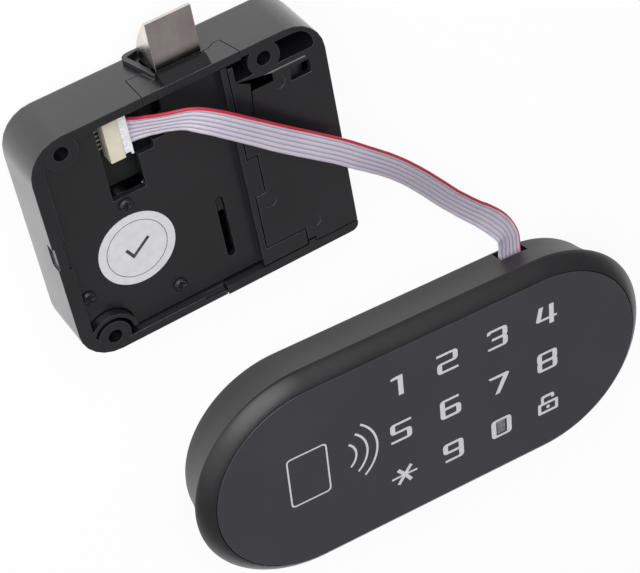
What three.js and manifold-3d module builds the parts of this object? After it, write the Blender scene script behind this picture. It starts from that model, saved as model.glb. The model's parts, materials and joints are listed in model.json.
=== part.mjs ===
// Electronic cabinet lock: a motor-driven lock box, its touch keypad and the ribbon cable between them.
// Millimetres, +Z up. The lock box lies with its door side up, and the keypad lies with its glass up.
import * as THREE from "three";
import { mergeVertices } from "three/addons/utils/BufferGeometryUtils.js";
import Module from "manifold-3d";

const wasm = await Module();
wasm.setup();

// Clearances shared by all pieces
const looseGap = 0.6;
const fitGap = 0.3;
const runGap = 0.15;
const seatGap = 0.1;
const touchGap = 0.05;
const overrun = 1;
const holeSides = 16;
const slimSides = 12;
const discSides = 24;
const cellSides = 28;
const motorSides = 32;
const stickerSides = 48;
const cornerSteps = 6;
const filletShares = [0, 0.5, 1];

// Lock box shell
const wall = 2.5;
const latchWall = 2.5;
const mechanismWall = 3.6;
const roomWidth = 48.9;
const floorThickness = 1.7;
const cornerRadius = 9.7;
const innerCornerRadius = 6;
const baseFillet = 1.5;

// Battery cover, which carries the near wall of the bay side
const coverThickness = 1.5;
const coverOverlap = 12.7;
const coverLap = 0.15;
const coverWall = 2.6;
const coverProud = 0.3;
const coverCornerRadius = 2;
const coverTravel = 35;
const railThickness = 0.9;
const railFlange = 0.8;
const railLip = 0.8;
const ledgeWidth = 1;
const gripWidth = 18;
const gripDepth = 0.5;
const gripPitch = 2.4;
const gripCount = 5;
const gripLead = 4.8;
const hookWidth = 2;
const hookDepth = 1.1;
const hookHeight = 1.9;
const hookInset = 10.8;

// Battery bay with two AAA cells side by side
const cellDiameter = 10.4;
const cellLength = 44.5;
const nubDiameter = 3.8;
const nubLength = 0.9;
const cellSideGap = 0.5;
const cellRest = 0.2;
const bayNearMargin = 7.85;
const bayWall = 2;
const dividerThickness = 1.4;
const roofThickness = 1.8;
const contactThickness = 0.4;
const springRoom = 3.8;
const bridgeInset = 9.8;
const bridgeLength = 15;
const bridgeTopDrop = 2.1;
const bridgeRise = 1.7;
const partitionThickness = 1.2;
const terminalWidth = 8;
const terminalHeight = 9;
const bayEndWall = 1.4;
const contactWire = 0.5;
const contactCoilRadius = 2.9;
const contactTurns = 2.5;
const cradleShares = [0.25, 0.75];

// Windows in the bay roof, through which the bridge and its spring show
const bridgeWindowLeft = 2.1;
const bridgeWindowRight = 3.5;
const bridgeWindowNear = 2.2;
const bridgeWindowFar = 0.2;
const springWindowLeft = 2.5;
const springWindowRight = 3;
const springWindowNear = 4.8;
const springWindowFar = 1.1;

// Mounting bosses and the cored pockets beside the far right one
const bossRadius = 4.4;
const bossHoleRadius = 1.9;
const bossInsetX = 8.7;
const bossInsetY = 4.6;
const rightBossInsetX = 16;
const rightBossInsetY = 4.9;
const bossGuardRadius = 6.5;
const bossGuardWall = 1.1;
const pocketFloorThickness = 2.8;
const pocketFarWall = 2;
const pocketWidth = 4.8;
const cornerPocketInset = 2.8;
const cornerPocketWidth = 10.2;
const cornerPocketRadius = 4.6;

// Back plate over the mechanism
const plateDrop = 2.5;
const plateThickness = 1.8;
const borderWidth = 1.5;
const tabReach = 2.8;
const tabFarY = 2.5;
const tabNearY = -8.7;
const extensionReach = 9.5;
const extensionWidth = 5;
const slotOffset = 1.1;
const slotWidth = 2.2;
const slotFarGap = 0.7;
const slotNearGap = 0.8;
const cutoutBehind = 2.3;
const cutoutAhead = 2.7;
const cutoutNearGap = 0.8;
const notchAhead = 7;
const cableNotchAhead = 10.4;
const cableNotchStep = 1.7;
const wideCutoutAhead = 11.1;
const wideCutoutStep = 7.4;
const boardScrewInset = 7.3;
const boardScrewGap = 3.3;
const leftScrewInset = 2.1;
const leftScrewRise = 17.4;
const nearScrewInset = 2.7;
const nearScrewRise = 7.9;
const screwHeadRadius = 1.9;
const screwHeadHeight = 0.9;
const screwRadius = 0.85;
const screwLength = 8;
const crossWidth = 0.6;
const crossDepth = 0.5;
const postRadius = 2.6;
const postHole = 0.95;
const rimNotchDepth = 1.5;
const nearNotchLeft = -5.4;
const nearNotchRight = 0.5;
const leftNotchNear = -3.5;
const leftNotchFar = 5.3;
const stickerRadius = 10.25;
const stickerThickness = 0.12;
const stickerX = -18.3;
const stickerBoardGap = 16.7;

// Latch bolt, its slider and the return spring
const boltDividerGap = 3.7;
const boltFloorGap = 2.6;
const boltWidth = 12;
const boltHeight = 9.2;
const boltProjection = 15;
const boltTravel = 13.8;
const boltTipThickness = 0.9;
const boltNoseShare = 1.2;
const boltBevelPower = 1.25;
const boltShank = 9.2;
const tongueWidth = 5;
const tongueLength = 5.7;
const tongueHeight = 4.6;
const pinRadius = 1;
const sliderWidth = 10.6;
const sliderHeight = 5.3;
const sliderNearY = -10;
const sliderHeadHeight = 8.4;
const sliderHeadLength = 6;
const lugWidth = 1.6;
const lugLength = 3.7;
const lugTopDrop = 3;
const guideRodRadius = 0.75;
const guideRodReach = 1.5;
const guideRodClearance = 0.4;
const springWire = 0.5;
const springRadius = 2.2;
const springTurns = 10;
const floorRibWidth = 1.2;
const sideRailThickness = 1.2;
const sideRailHeight = 8;

// Guide let into the latch wall round the bolt
const guideLeftReach = 12.2;
const guideRightReach = 13.7;
const guideLeftDrop = 4.1;
const guideShoulderReach = 8.6;
const guideShoulderDrop = 1.9;
const guideStepReach = 10.3;
const guideStepDrop = 3;
const guideSlantReach = 12.2;
const collarLeftReach = 9.7;
const collarArm = 2.9;
const collarDrop = 3;
const collarProud = 1.5;
const collarCorner = 2;
const guideFlange = 0.7;
const guideFlangeReach = 1.2;
const guideRecessDepth = 1.6;
const guideLipHeight = 1.1;

// Gear train: rack on the slider, compound gear and motor
const gearY = -4;
const rackStandOff = 0.9;
const rackModule = 1;
const rackGearTeeth = 10;
const rackLead = 3;
const rackTrail = 3.2;
const trainModule = 0.6;
const trainGearTeeth = 32;
const motorPinionTeeth = 9;
const motorBearingDegrees = 215.15;
const pressureDegrees = 25;
const addendumShare = 0.8;
const dedendumShare = 1.2;
const toothShare = 0.42;
const trainFaceWidth = 2;
const gearSliderGap = 0.6;
const trainPlateGap = 1;
const rackFaceWidth = 4.5;
const axleRadius = 0.75;
const axleClearance = 0.12;
const bearingWall = 1.3;
const motorRadius = 6;
const motorShaftRadius = 0.5;
const motorBossRadius = 1.6;
const motorBossHeight = 0.4;
const motorPinionGap = 0.4;
const motorRingWall = 1;
const motorRingHeight = 2.8;
const clampRadius = 1.2;

// Control board and the ribbon's header in the lock box
const boardThickness = 1.6;
const boardDrop = 3;
const boardWidth = 21.2;
const boardLength = 20.9;
const boardBoltGap = 2;
const boardWallGap = 1.6;
const boardRibWidth = 1.4;
const chipSize = 3.9;
const chipHeight = 1;
const chipInset = 1;
const headerInset = 10.4;
const headerDepth = 3.9;
const headerHeight = 4.1;
const headerOverhang = 0.1;
const headerLength = 12.1;
const headerWall = 0.7;
const pinPitch = 1.27;
const pinCount = 6;
const pinWidth = 0.6;
const pinReach = 1.1;
const plugProud = 2.2;
const plugDepth = 3;
const sounderRadius = 4.5;
const sounderHeight = 3;

// Ribbon cable: centre-line points with the roll of the flat about its run, in degrees
const ribbonPitch = 1.27;
const ribbonThickness = 0.9;
const ribbonRoute = [
  [-12.05, 22.7, 13.8, 0],
  [-11.3, 22.7, 13.9, 0],
  [-10.2, 22.9, 14.7, 3],
  [-7.4, 23.6, 17.0, 10],
  [-4.3, 24.1, 19.3, 17],
  [0.6, 24.0, 22.1, 15.5],
  [5.5, 21.4, 23.7, 14.3],
  [10.8, 17.1, 24.0, 13.2],
  [16.2, 12.3, 23.6, 11],
  [21.6, 7.4, 23.1, 7.8],
  [27.0, 2.7, 22.5, 6.3],
  [32.2, -1.7, 22.2, 8.4],
  [37.2, -6.1, 21.7, 11.2],
  [42.0, -10.9, 20.9, 12.6],
  [46.9, -16.0, 19.4, 15.3],
  [51.6, -21.3, 17.6, 19.8],
  [55.9, -26.7, 15.7, 23.5],
  [59.8, -32.0, 13.7, 25.4],
  [63.5, -37.4, 11.7, 25.8],
  [67.2, -42.9, 9.8, 25.2],
  [70.9, -48.5, 8.0, 23.7],
  [74.8, -53.9, 6.4, 20.9],
  [78.7, -59.1, 5.2, 16.2],
  [82.7, -64.0, 4.2, 8.5],
  [86.7, -69.4, 3.6, -5.2],
  [89.6, -74.4, 3.4, -16],
  [90.7, -78.8, 3.1, -7],
  [90.5, -83.2, 3.0, 0],
  [90.2, -87.4, 3.9, 0],
  [89.9, -91.4, 7.2, 0],
  [89.5, -94.9, 11.8, 0],
  [89.3, -97.1, 13.2, 0],
  [89.3, -98.0, 13.25, 0],
];
const ribbonSteps = 74;

// Keypad: place, glass, bezel and housing
const keypadX = 50.8;
const keypadY = -111.7;
const keypadTurnDegrees = -4.285;
const glassLength = 137.2;
const glassWidth = 61.9;
const glassThickness = 1.5;
const glassTop = 18.5;
const bezelMargin = 4.72;
const bezelSideBand = 1.1;
const bezelDepth = 4.8;
const bezelCrestRise = 0.4;
const bezelCrestMargin = 2.9;
const bezelShoulderMargin = 4.2;
const bezelShoulderDrop = 1.5;
const bezelGrooveDrop = 0.3;
const bezelLedge = 2.2;
const bezelLedgeThickness = 1.6;
const skirtThickness = 1.2;
const skirtDepth = 2.2;
const housingWall = 2;
const housingFloor = 2;
const housingTopMargin = 4;
const housingBaseMargin = 0.6;
const housingFillet = 1;
const housingCurvePower = 1.4;
const housingLevelShares = [0, 0.25, 0.5, 0.75, 1];
const outlineSteps = 18;
const keypadScrewInset = 3.4;
const keypadScrewShift = 15.65;
const keypadBossRadius = 2.6;
const keypadScrewRadius = 1;
const keypadScrewHeadRadius = 1.8;
const keypadScrewHeadHeight = 1.2;
const keypadScrewRecess = 0.6;
const insertReach = 12.35;
const insertRadius = 3;
const insertBore = 1.65;
const insertLength = 7;
const insertBossWall = 1.6;
const cableNotchWidth = 9;
const cableNotchHeight = 4.6;
const touchBoardInset = 6.6;
const touchBoardThickness = 1.6;
const socketShift = 0.25;
const socketV = 9.6;
const socketDepth = 4.4;
const coilShift = 2.35;
const coilLength = 38;
const coilWidth = 34;
const coilTrack = 4;
const coilThickness = 0.4;
const coilCorner = 6;
const windowShift = 15.75;
const windowV = -15.45;
const windowWidth = 2.6;
const windowHeight = 4.4;
const windowThickness = 0.8;
const buzzerU = 4;
const buzzerV = 4;

// Overall size, worked out from what the box holds
const floorTop = coverThickness + floorThickness;
const boxHeight = floorTop + boltFloorGap + sliderHeight + gearSliderGap + trainFaceWidth + trainPlateGap
  + plateThickness + plateDrop;
const cellPitch = cellDiameter + fitGap;
const bayWidth = cellPitch + cellDiameter + 2 * cellSideGap;
const boxLength = mechanismWall + roomWidth + dividerThickness + bayWidth + bayWall;
const boxWidth = bridgeInset + cellLength + springRoom + contactThickness + touchGap + bayNearMargin;

// Walls, bay and bosses that follow from the sizes above
const left = -boxLength / 2;
const right = boxLength / 2;
const near = -boxWidth / 2;
const far = boxWidth / 2;
const aboveBox = boxHeight + overrun;
const floorSeat = floorTop - touchGap;
const bayFloor = coverThickness + fitGap;
const roomLeft = left + mechanismWall;
const roomNear = near + wall;
const roomFar = far - latchWall;
const bayRight = right - bayWall;
const bayLeft = bayRight - bayWidth;
const dividerLeft = bayLeft - dividerThickness;
const roofBottom = boxHeight - roofThickness;
const cellXs = [bayLeft + cellSideGap + cellDiameter / 2, bayRight - cellSideGap - cellDiameter / 2];
const cellZ = floorTop + cellRest + cellDiameter / 2;
const bridgeFace = far - bridgeInset;
const bayFar = bridgeFace + contactThickness + touchGap;
const terminalFace = bridgeFace - cellLength - springRoom;
const bayNear = terminalFace - contactThickness - touchGap;
const caseNear = near + coverWall;
const coverLeft = dividerLeft - coverOverlap;
const coverFarY = bayFar + coverLap;
const hookX = bayLeft + hookInset;
const extensionRight = bayLeft + extensionReach;
const pocketFloor = floorTop + pocketFloorThickness;
const bossPlaces = [
  [left + bossInsetX, far - bossInsetY],
  [left + bossInsetX, near + bossInsetY],
];
const rightBoss = [right - rightBossInsetX, far - rightBossInsetY];
const plateTop = boxHeight - plateDrop;
const plateBottom = plateTop - plateThickness;
const plateRight = dividerLeft - fitGap;
const borderLeft = plateRight - borderWidth;

// Bolt, slider and guide
const boltX = dividerLeft - boltDividerGap - boltWidth / 2;
const boltBottom = floorTop + boltFloorGap;
const boltTop = boltBottom + boltHeight;
const boltTipY = far + boltProjection;
const boltRearY = boltTipY - boltProjection - boltShank;
const tongueZ = (boltTop + boltBottom) / 2;
const sliderBottom = boltBottom;
const sliderTop = sliderBottom + sliderHeight;
const rodZ = sliderBottom + sliderHeight / 2;
const guideRodEndY = sliderNearY + guideRodReach;
const ribTop = sliderBottom - fitGap;
const nearInnerWall = caseNear + bayWall / 2;
const slotX = boltX + slotOffset;
const slotFarY = sliderNearY + lugLength + slotFarGap;
const slotNearY = sliderNearY - boltTravel - slotNearGap;
const guideLeft = boltX - guideLeftReach;
const guideRight = boltX + guideRightReach;
const guideLeftZ = plateBottom - guideLeftDrop;
const guideShoulderX = boltX + guideShoulderReach;
const guideShoulderZ = plateBottom - guideShoulderDrop;
const guideStepX = boltX + guideStepReach;
const guideStepZ = plateBottom - guideStepDrop;
const guideSlantX = boltX + guideSlantReach;
const collarLeft = boltX - collarLeftReach;
const collarBottom = boltBottom - collarDrop;

// Gear train and motor
const gearPitchRadius = rackModule * rackGearTeeth / 2;
const gearX = boltX - sliderWidth / 2 - rackStandOff - gearPitchRadius;
const rackNearY = gearY - rackLead;
const rackLength = rackLead + boltTravel + rackTrail;
const trainPitchRadius = trainModule * trainGearTeeth / 2;
const motorPitchRadius = trainModule * motorPinionTeeth / 2;
const trainBottom = sliderTop + gearSliderGap;
const trainTop = trainBottom + trainFaceWidth;
const motorBearing = THREE.MathUtils.degToRad(motorBearingDegrees);
const motorX = gearX + (trainPitchRadius + motorPitchRadius) * Math.cos(motorBearing);
const motorY = gearY + (trainPitchRadius + motorPitchRadius) * Math.sin(motorBearing);
const motorBottom = floorTop + fitGap;
const motorTop = trainBottom - motorPinionGap - motorBossHeight;
const motorHeight = motorTop - motorBottom;

// Control board, header and the plate's openings round them
const boardTop = plateBottom - boardDrop;
const boardBottom = boardTop - boardThickness;
const boardRight = boltX - boltWidth / 2 - boardBoltGap;
const boardLeft = boardRight - boardWidth;
const boardFarY = roomFar - boardWallGap;
const boardNearY = boardFarY - boardLength;
const stickerY = boardNearY - stickerBoardGap;
const headerNearX = boardRight - headerInset;
const headerNearY = boardFarY + headerOverhang - headerLength;
const cutoutLeft = headerNearX - headerDepth - cutoutBehind;
const cutoutRight = headerNearX + cutoutAhead;
const cutoutNearY = boardNearY - cutoutNearGap;
const notchRight = headerNearX + notchAhead;
const notchNearY = headerNearY - fitGap;
const cableNotchRight = headerNearX + cableNotchAhead;
const cableNotchNearY = headerNearY + cableNotchStep;
const wideCutoutRight = headerNearX + wideCutoutAhead;
const wideCutoutNearY = headerNearY + wideCutoutStep;
const screwPlaces = [
  [boardLeft + boardScrewInset, boardNearY - boardScrewGap],
  [roomLeft + leftScrewInset, near + leftScrewRise],
  [gearX - nearScrewInset, near + nearScrewRise],
];

// Keypad levels
const glassRadius = glassWidth / 2;
const glassStraight = glassLength / 2 - glassRadius;
const keypadScrewU = glassStraight - keypadScrewShift;
const insertU = glassStraight + insertReach;
const socketU = glassStraight - socketShift;
const coilU = -(glassStraight + coilShift);
const windowU = glassStraight - windowShift;
const glassBottom = glassTop - glassThickness;
const touchBoardTop = glassBottom - touchGap;
const touchBoardBottom = touchBoardTop - touchBoardThickness;
const bezelBottom = glassTop - bezelDepth;
const bezelCrest = glassTop + bezelCrestRise;
const ledgeTop = glassBottom - touchGap;
const ledgeBottom = ledgeTop - bezelLedgeThickness;
const housingTop = bezelBottom - touchGap;
const socketTop = touchBoardBottom - touchGap;

// Geometry helpers
function solidFrom(geometry) {
  geometry.deleteAttribute("normal");
  geometry.deleteAttribute("uv");
  const merged = mergeVertices(geometry);
  const vertProperties = new Float32Array(merged.attributes.position.array);
  const triVerts = new Uint32Array(merged.index.array);
  return new wasm.Manifold(new wasm.Mesh({ numProp: 3, vertProperties, triVerts }));
}

function geometryFrom(solid) {
  const mesh = solid.getMesh();
  const geometry = new THREE.BufferGeometry();
  geometry.setAttribute("position", new THREE.BufferAttribute(mesh.vertProperties, 3));
  geometry.setIndex(new THREE.BufferAttribute(mesh.triVerts, 1));
  geometry.computeVertexNormals();
  return geometry;
}

function join(...solids) {
  return solids.reduce((whole, solid) => whole.add(solid));
}

function cut(solid, ...tools) {
  return tools.reduce((rest, tool) => rest.subtract(tool), solid);
}

function prism(points, z0, z1) {
  const shape = new THREE.Shape(points);
  const geometry = new THREE.ExtrudeGeometry(shape, { depth: z1 - z0, bevelEnabled: false });
  geometry.translate(0, 0, z0);
  return solidFrom(geometry);
}

// A prism drawn in X and Z and pushed along Y from y0 to y1
function wallPrism(points, y0, y1) {
  const shape = new THREE.Shape(points);
  const geometry = new THREE.ExtrudeGeometry(shape, { depth: y1 - y0, bevelEnabled: false });
  geometry.rotateX(Math.PI / 2);
  geometry.translate(0, y1, 0);
  return solidFrom(geometry);
}

// A prism drawn in Y and Z and pushed along X from x0 to x1
function sidePrism(points, x0, x1) {
  const shape = new THREE.Shape(points);
  const geometry = new THREE.ExtrudeGeometry(shape, { depth: x1 - x0, bevelEnabled: false });
  geometry.rotateX(Math.PI / 2);
  geometry.rotateZ(Math.PI / 2);
  geometry.translate(x0, 0, 0);
  return solidFrom(geometry);
}

function block(x0, x1, y0, y1, z0, z1) {
  const geometry = new THREE.BoxGeometry(x1 - x0, y1 - y0, z1 - z0);
  geometry.translate((x0 + x1) / 2, (y0 + y1) / 2, (z0 + z1) / 2);
  return solidFrom(geometry);
}

function drum(radius, x, y, z0, z1, sides = holeSides) {
  const geometry = new THREE.CylinderGeometry(radius, radius, z1 - z0, sides);
  geometry.rotateX(Math.PI / 2);
  geometry.translate(x, y, (z0 + z1) / 2);
  return solidFrom(geometry);
}

function drumAlongY(radius, x, z, y0, y1, sides = holeSides) {
  const geometry = new THREE.CylinderGeometry(radius, radius, y1 - y0, sides);
  geometry.translate(x, (y0 + y1) / 2, z);
  return solidFrom(geometry);
}

function point(x, y) {
  return new THREE.Vector2(x, y);
}

// Rectangle with its own radius at each corner: near left, near right, far right, far left
function roundedOutline(x0, x1, y0, y1, radii) {
  const corners = [
    [x0, y0, 1, 1, Math.PI],
    [x1, y0, -1, 1, 1.5 * Math.PI],
    [x1, y1, -1, -1, 0],
    [x0, y1, 1, -1, 0.5 * Math.PI],
  ];
  return corners.flatMap(([x, y, inX, inY, start], index) => {
    const radius = radii[index];
    const centreX = x + inX * radius;
    const centreY = y + inY * radius;
    return Array.from({ length: cornerSteps + 1 }, (_, step) => {
      const angle = start + (step / cornerSteps) * Math.PI / 2;
      return point(centreX + radius * Math.cos(angle), centreY + radius * Math.sin(angle));
    });
  });
}

// Stadium outline of the glass, moved out by a margin
function stadium(margin) {
  const radius = glassRadius + margin;
  return [0, Math.PI].flatMap((turn) =>
    Array.from({ length: outlineSteps + 1 }, (_, step) => {
      const angle = turn - Math.PI / 2 + (step / outlineSteps) * Math.PI;
      const side = turn === 0 ? glassStraight : -glassStraight;
      return point(side + radius * Math.cos(angle), radius * Math.sin(angle));
    }));
}

function indexedSolid(positions, triangles) {
  const geometry = new THREE.BufferGeometry();
  geometry.setAttribute("position", new THREE.Float32BufferAttribute(positions, 3));
  geometry.setIndex(triangles);
  return solidFrom(geometry);
}

// Stack of outlines with equal point counts, closed at both ends
function loft(levels) {
  const count = levels[0].outline.length;
  const positions = levels.flatMap(({ outline, z }) => outline.flatMap((place) => [place.x, place.y, z]));
  const triangles = [];
  for (let level = 0; level + 1 < levels.length; level += 1) {
    for (let index = 0; index < count; index += 1) {
      const next = (index + 1) % count;
      const a = level * count + index;
      const b = level * count + next;
      triangles.push(a, b, b + count, a, b + count, a + count);
    }
  }
  const faces = THREE.ShapeUtils.triangulateShape(levels[0].outline, []);
  const top = (levels.length - 1) * count;
  for (const [a, b, c] of faces) {
    triangles.push(a, c, b, top + a, top + b, top + c);
  }
  return indexedSolid(positions, triangles);
}

// Closed ring that carries a profile of [margin, z] points round the stadium
function stadiumRing(profile) {
  const rings = profile.map(([margin, z]) => stadium(margin).map((place) => [place.x, place.y, z]));
  const count = rings[0].length;
  const triangles = [];
  for (let ring = 0; ring < rings.length; ring += 1) {
    const following = (ring + 1) % rings.length;
    for (let index = 0; index < count; index += 1) {
      const next = (index + 1) % count;
      const a = ring * count + index;
      const b = ring * count + next;
      const c = following * count + next;
      const d = following * count + index;
      triangles.push(a, b, c, a, c, d);
    }
  }
  return indexedSolid(rings.flat(2), triangles);
}

// Tube of a closed section along stations that each have a centre and two section axes
function sweep(stations, section) {
  const count = section.length;
  const positions = stations.flatMap(({ centre, side, rise }) =>
    section.flatMap(([across, up]) =>
      centre.clone().addScaledVector(side, across).addScaledVector(rise, up).toArray()));
  const triangles = [];
  for (let step = 0; step + 1 < stations.length; step += 1) {
    for (let index = 0; index < count; index += 1) {
      const a = step * count + index;
      const b = step * count + (index + 1) % count;
      triangles.push(a, b, b + count, a, b + count, a + count);
    }
  }
  const last = (stations.length - 1) * count;
  for (let index = 1; index + 1 < count; index += 1) {
    triangles.push(0, index + 1, index, last, last + index, last + index + 1);
  }
  return indexedSolid(positions, triangles);
}

// Coil spring along Y with straight ends; its least gap to itself is measured and printed
function coilSpring(name, x, z, y0, y1, radius, wire, turns) {
  const stepsPerTurn = 8;
  const sides = 5;
  const steps = turns * stepsPerTurn;
  const places = [];
  const lower = y0 + wire;
  const upper = y1 - wire;
  for (let step = 0; step <= steps; step += 1) {
    const angle = (step / stepsPerTurn) * 2 * Math.PI;
    const y = lower + (upper - lower) * (step / steps);
    places.push(new THREE.Vector3(x + radius * Math.cos(angle), y, z + radius * Math.sin(angle)));
  }
  let least = Infinity;
  for (let one = 0; one < places.length; one += 1) {
    for (let other = one + stepsPerTurn / 2 + 1; other < places.length; other += 1) {
      least = Math.min(least, places[one].distanceTo(places[other]) - wire);
    }
  }
  console.log(`${name} least gap to itself ${least.toFixed(2)} mm`);
  places.unshift(places[0].clone().setY(y0));
  places.push(places[places.length - 1].clone().setY(y1));
  const outward = (place) => new THREE.Vector3(place.x - x, 0, place.z - z).normalize();
  const stations = places.map((centre, index) => {
    const before = places[Math.max(index - 1, 0)];
    const after = places[Math.min(index + 1, places.length - 1)];
    const run = after.clone().sub(before).normalize();
    const side = outward(centre);
    const rise = run.clone().cross(side).normalize();
    return { centre, side, rise };
  });
  const section = Array.from({ length: sides }, (_, index) => {
    const angle = (index / sides) * 2 * Math.PI;
    return [wire / 2 * Math.cos(angle), wire / 2 * Math.sin(angle)];
  });
  return sweep(stations, section);
}

// Gear teeth with involute flanks
function involute(angle) {
  return Math.tan(angle) - angle;
}

function gearOutline(teeth, toothModule, phase) {
  const pressure = THREE.MathUtils.degToRad(pressureDegrees);
  const pitchRadius = toothModule * teeth / 2;
  const baseRadius = pitchRadius * Math.cos(pressure);
  const rootRadius = pitchRadius - dedendumShare * toothModule;
  const tipRadius = pitchRadius + addendumShare * toothModule;
  const halfTooth = toothShare * Math.PI / teeth;
  const flank = [rootRadius, Math.max(baseRadius, rootRadius + touchGap), pitchRadius, tipRadius];
  const halfAngle = (radius) => {
    const reach = Math.acos(Math.min(1, baseRadius / Math.max(radius, baseRadius)));
    return halfTooth + involute(pressure) - involute(reach);
  };
  const outline = [];
  for (let tooth = 0; tooth < teeth; tooth += 1) {
    const centre = phase + (tooth / teeth) * 2 * Math.PI;
    for (const radius of flank) {
      const angle = centre - halfAngle(radius);
      outline.push(point(radius * Math.cos(angle), radius * Math.sin(angle)));
    }
    for (const radius of [...flank].reverse()) {
      const angle = centre + halfAngle(radius);
      outline.push(point(radius * Math.cos(angle), radius * Math.sin(angle)));
    }
  }
  return outline;
}

function gear(teeth, toothModule, phase, x, y, z0, z1) {
  return prism(gearOutline(teeth, toothModule, phase), z0, z1).translate([x, y, 0]);
}

// Pan-head screw with a cross recess, head down at z = seat when flipped
function panScrew(x, y, seat, headRadius, headHeight, shankRadius, length) {
  const top = seat + headHeight;
  const profile = [
    point(0, seat - length),
    point(shankRadius, seat - length),
    point(shankRadius, seat),
    point(headRadius, seat),
    point(headRadius, seat + headHeight / 2),
    point(headRadius - headHeight / 2, top),
    point(0, top),
  ];
  const geometry = new THREE.LatheGeometry(profile, slimSides);
  geometry.rotateX(Math.PI / 2);
  geometry.translate(x, y, 0);
  const body = solidFrom(geometry);
  const arm = headRadius - headHeight / 2;
  const slots = [
    block(x - arm, x + arm, y - crossWidth / 2, y + crossWidth / 2, top - crossDepth, top + overrun),
    block(x - crossWidth / 2, x + crossWidth / 2, y - arm, y + arm, top - crossDepth, top + overrun),
  ];
  return cut(body, ...slots);
}

// Lock case: floor, walls, bay roof, bosses, posts and rails
function bossRing(x, y) {
  return drum(bossRadius, x, y, floorSeat, boxHeight);
}

function bossHole(x, y) {
  return drum(bossHoleRadius, x, y, -overrun, aboveBox);
}

function guideOutline(grow) {
  const rise = aboveBox;
  return [
    point(guideLeft - grow, guideLeftZ - grow),
    point(boltX - boltWidth / 2 - fitGap - grow, guideLeftZ - grow),
    point(boltX - boltWidth / 2 - fitGap - grow, boltBottom - fitGap - grow),
    point(boltX + boltWidth / 2 + fitGap + grow, boltBottom - fitGap - grow),
    point(boltX + boltWidth / 2 + fitGap + grow, guideShoulderZ - grow),
    point(guideShoulderX - grow, guideShoulderZ - grow),
    point(guideStepX, guideStepZ - grow),
    point(guideSlantX + grow, guideStepZ - grow),
    point(guideRight + grow, boxHeight),
    point(guideRight + grow, rise),
    point(guideLeft - grow, rise),
  ];
}

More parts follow.
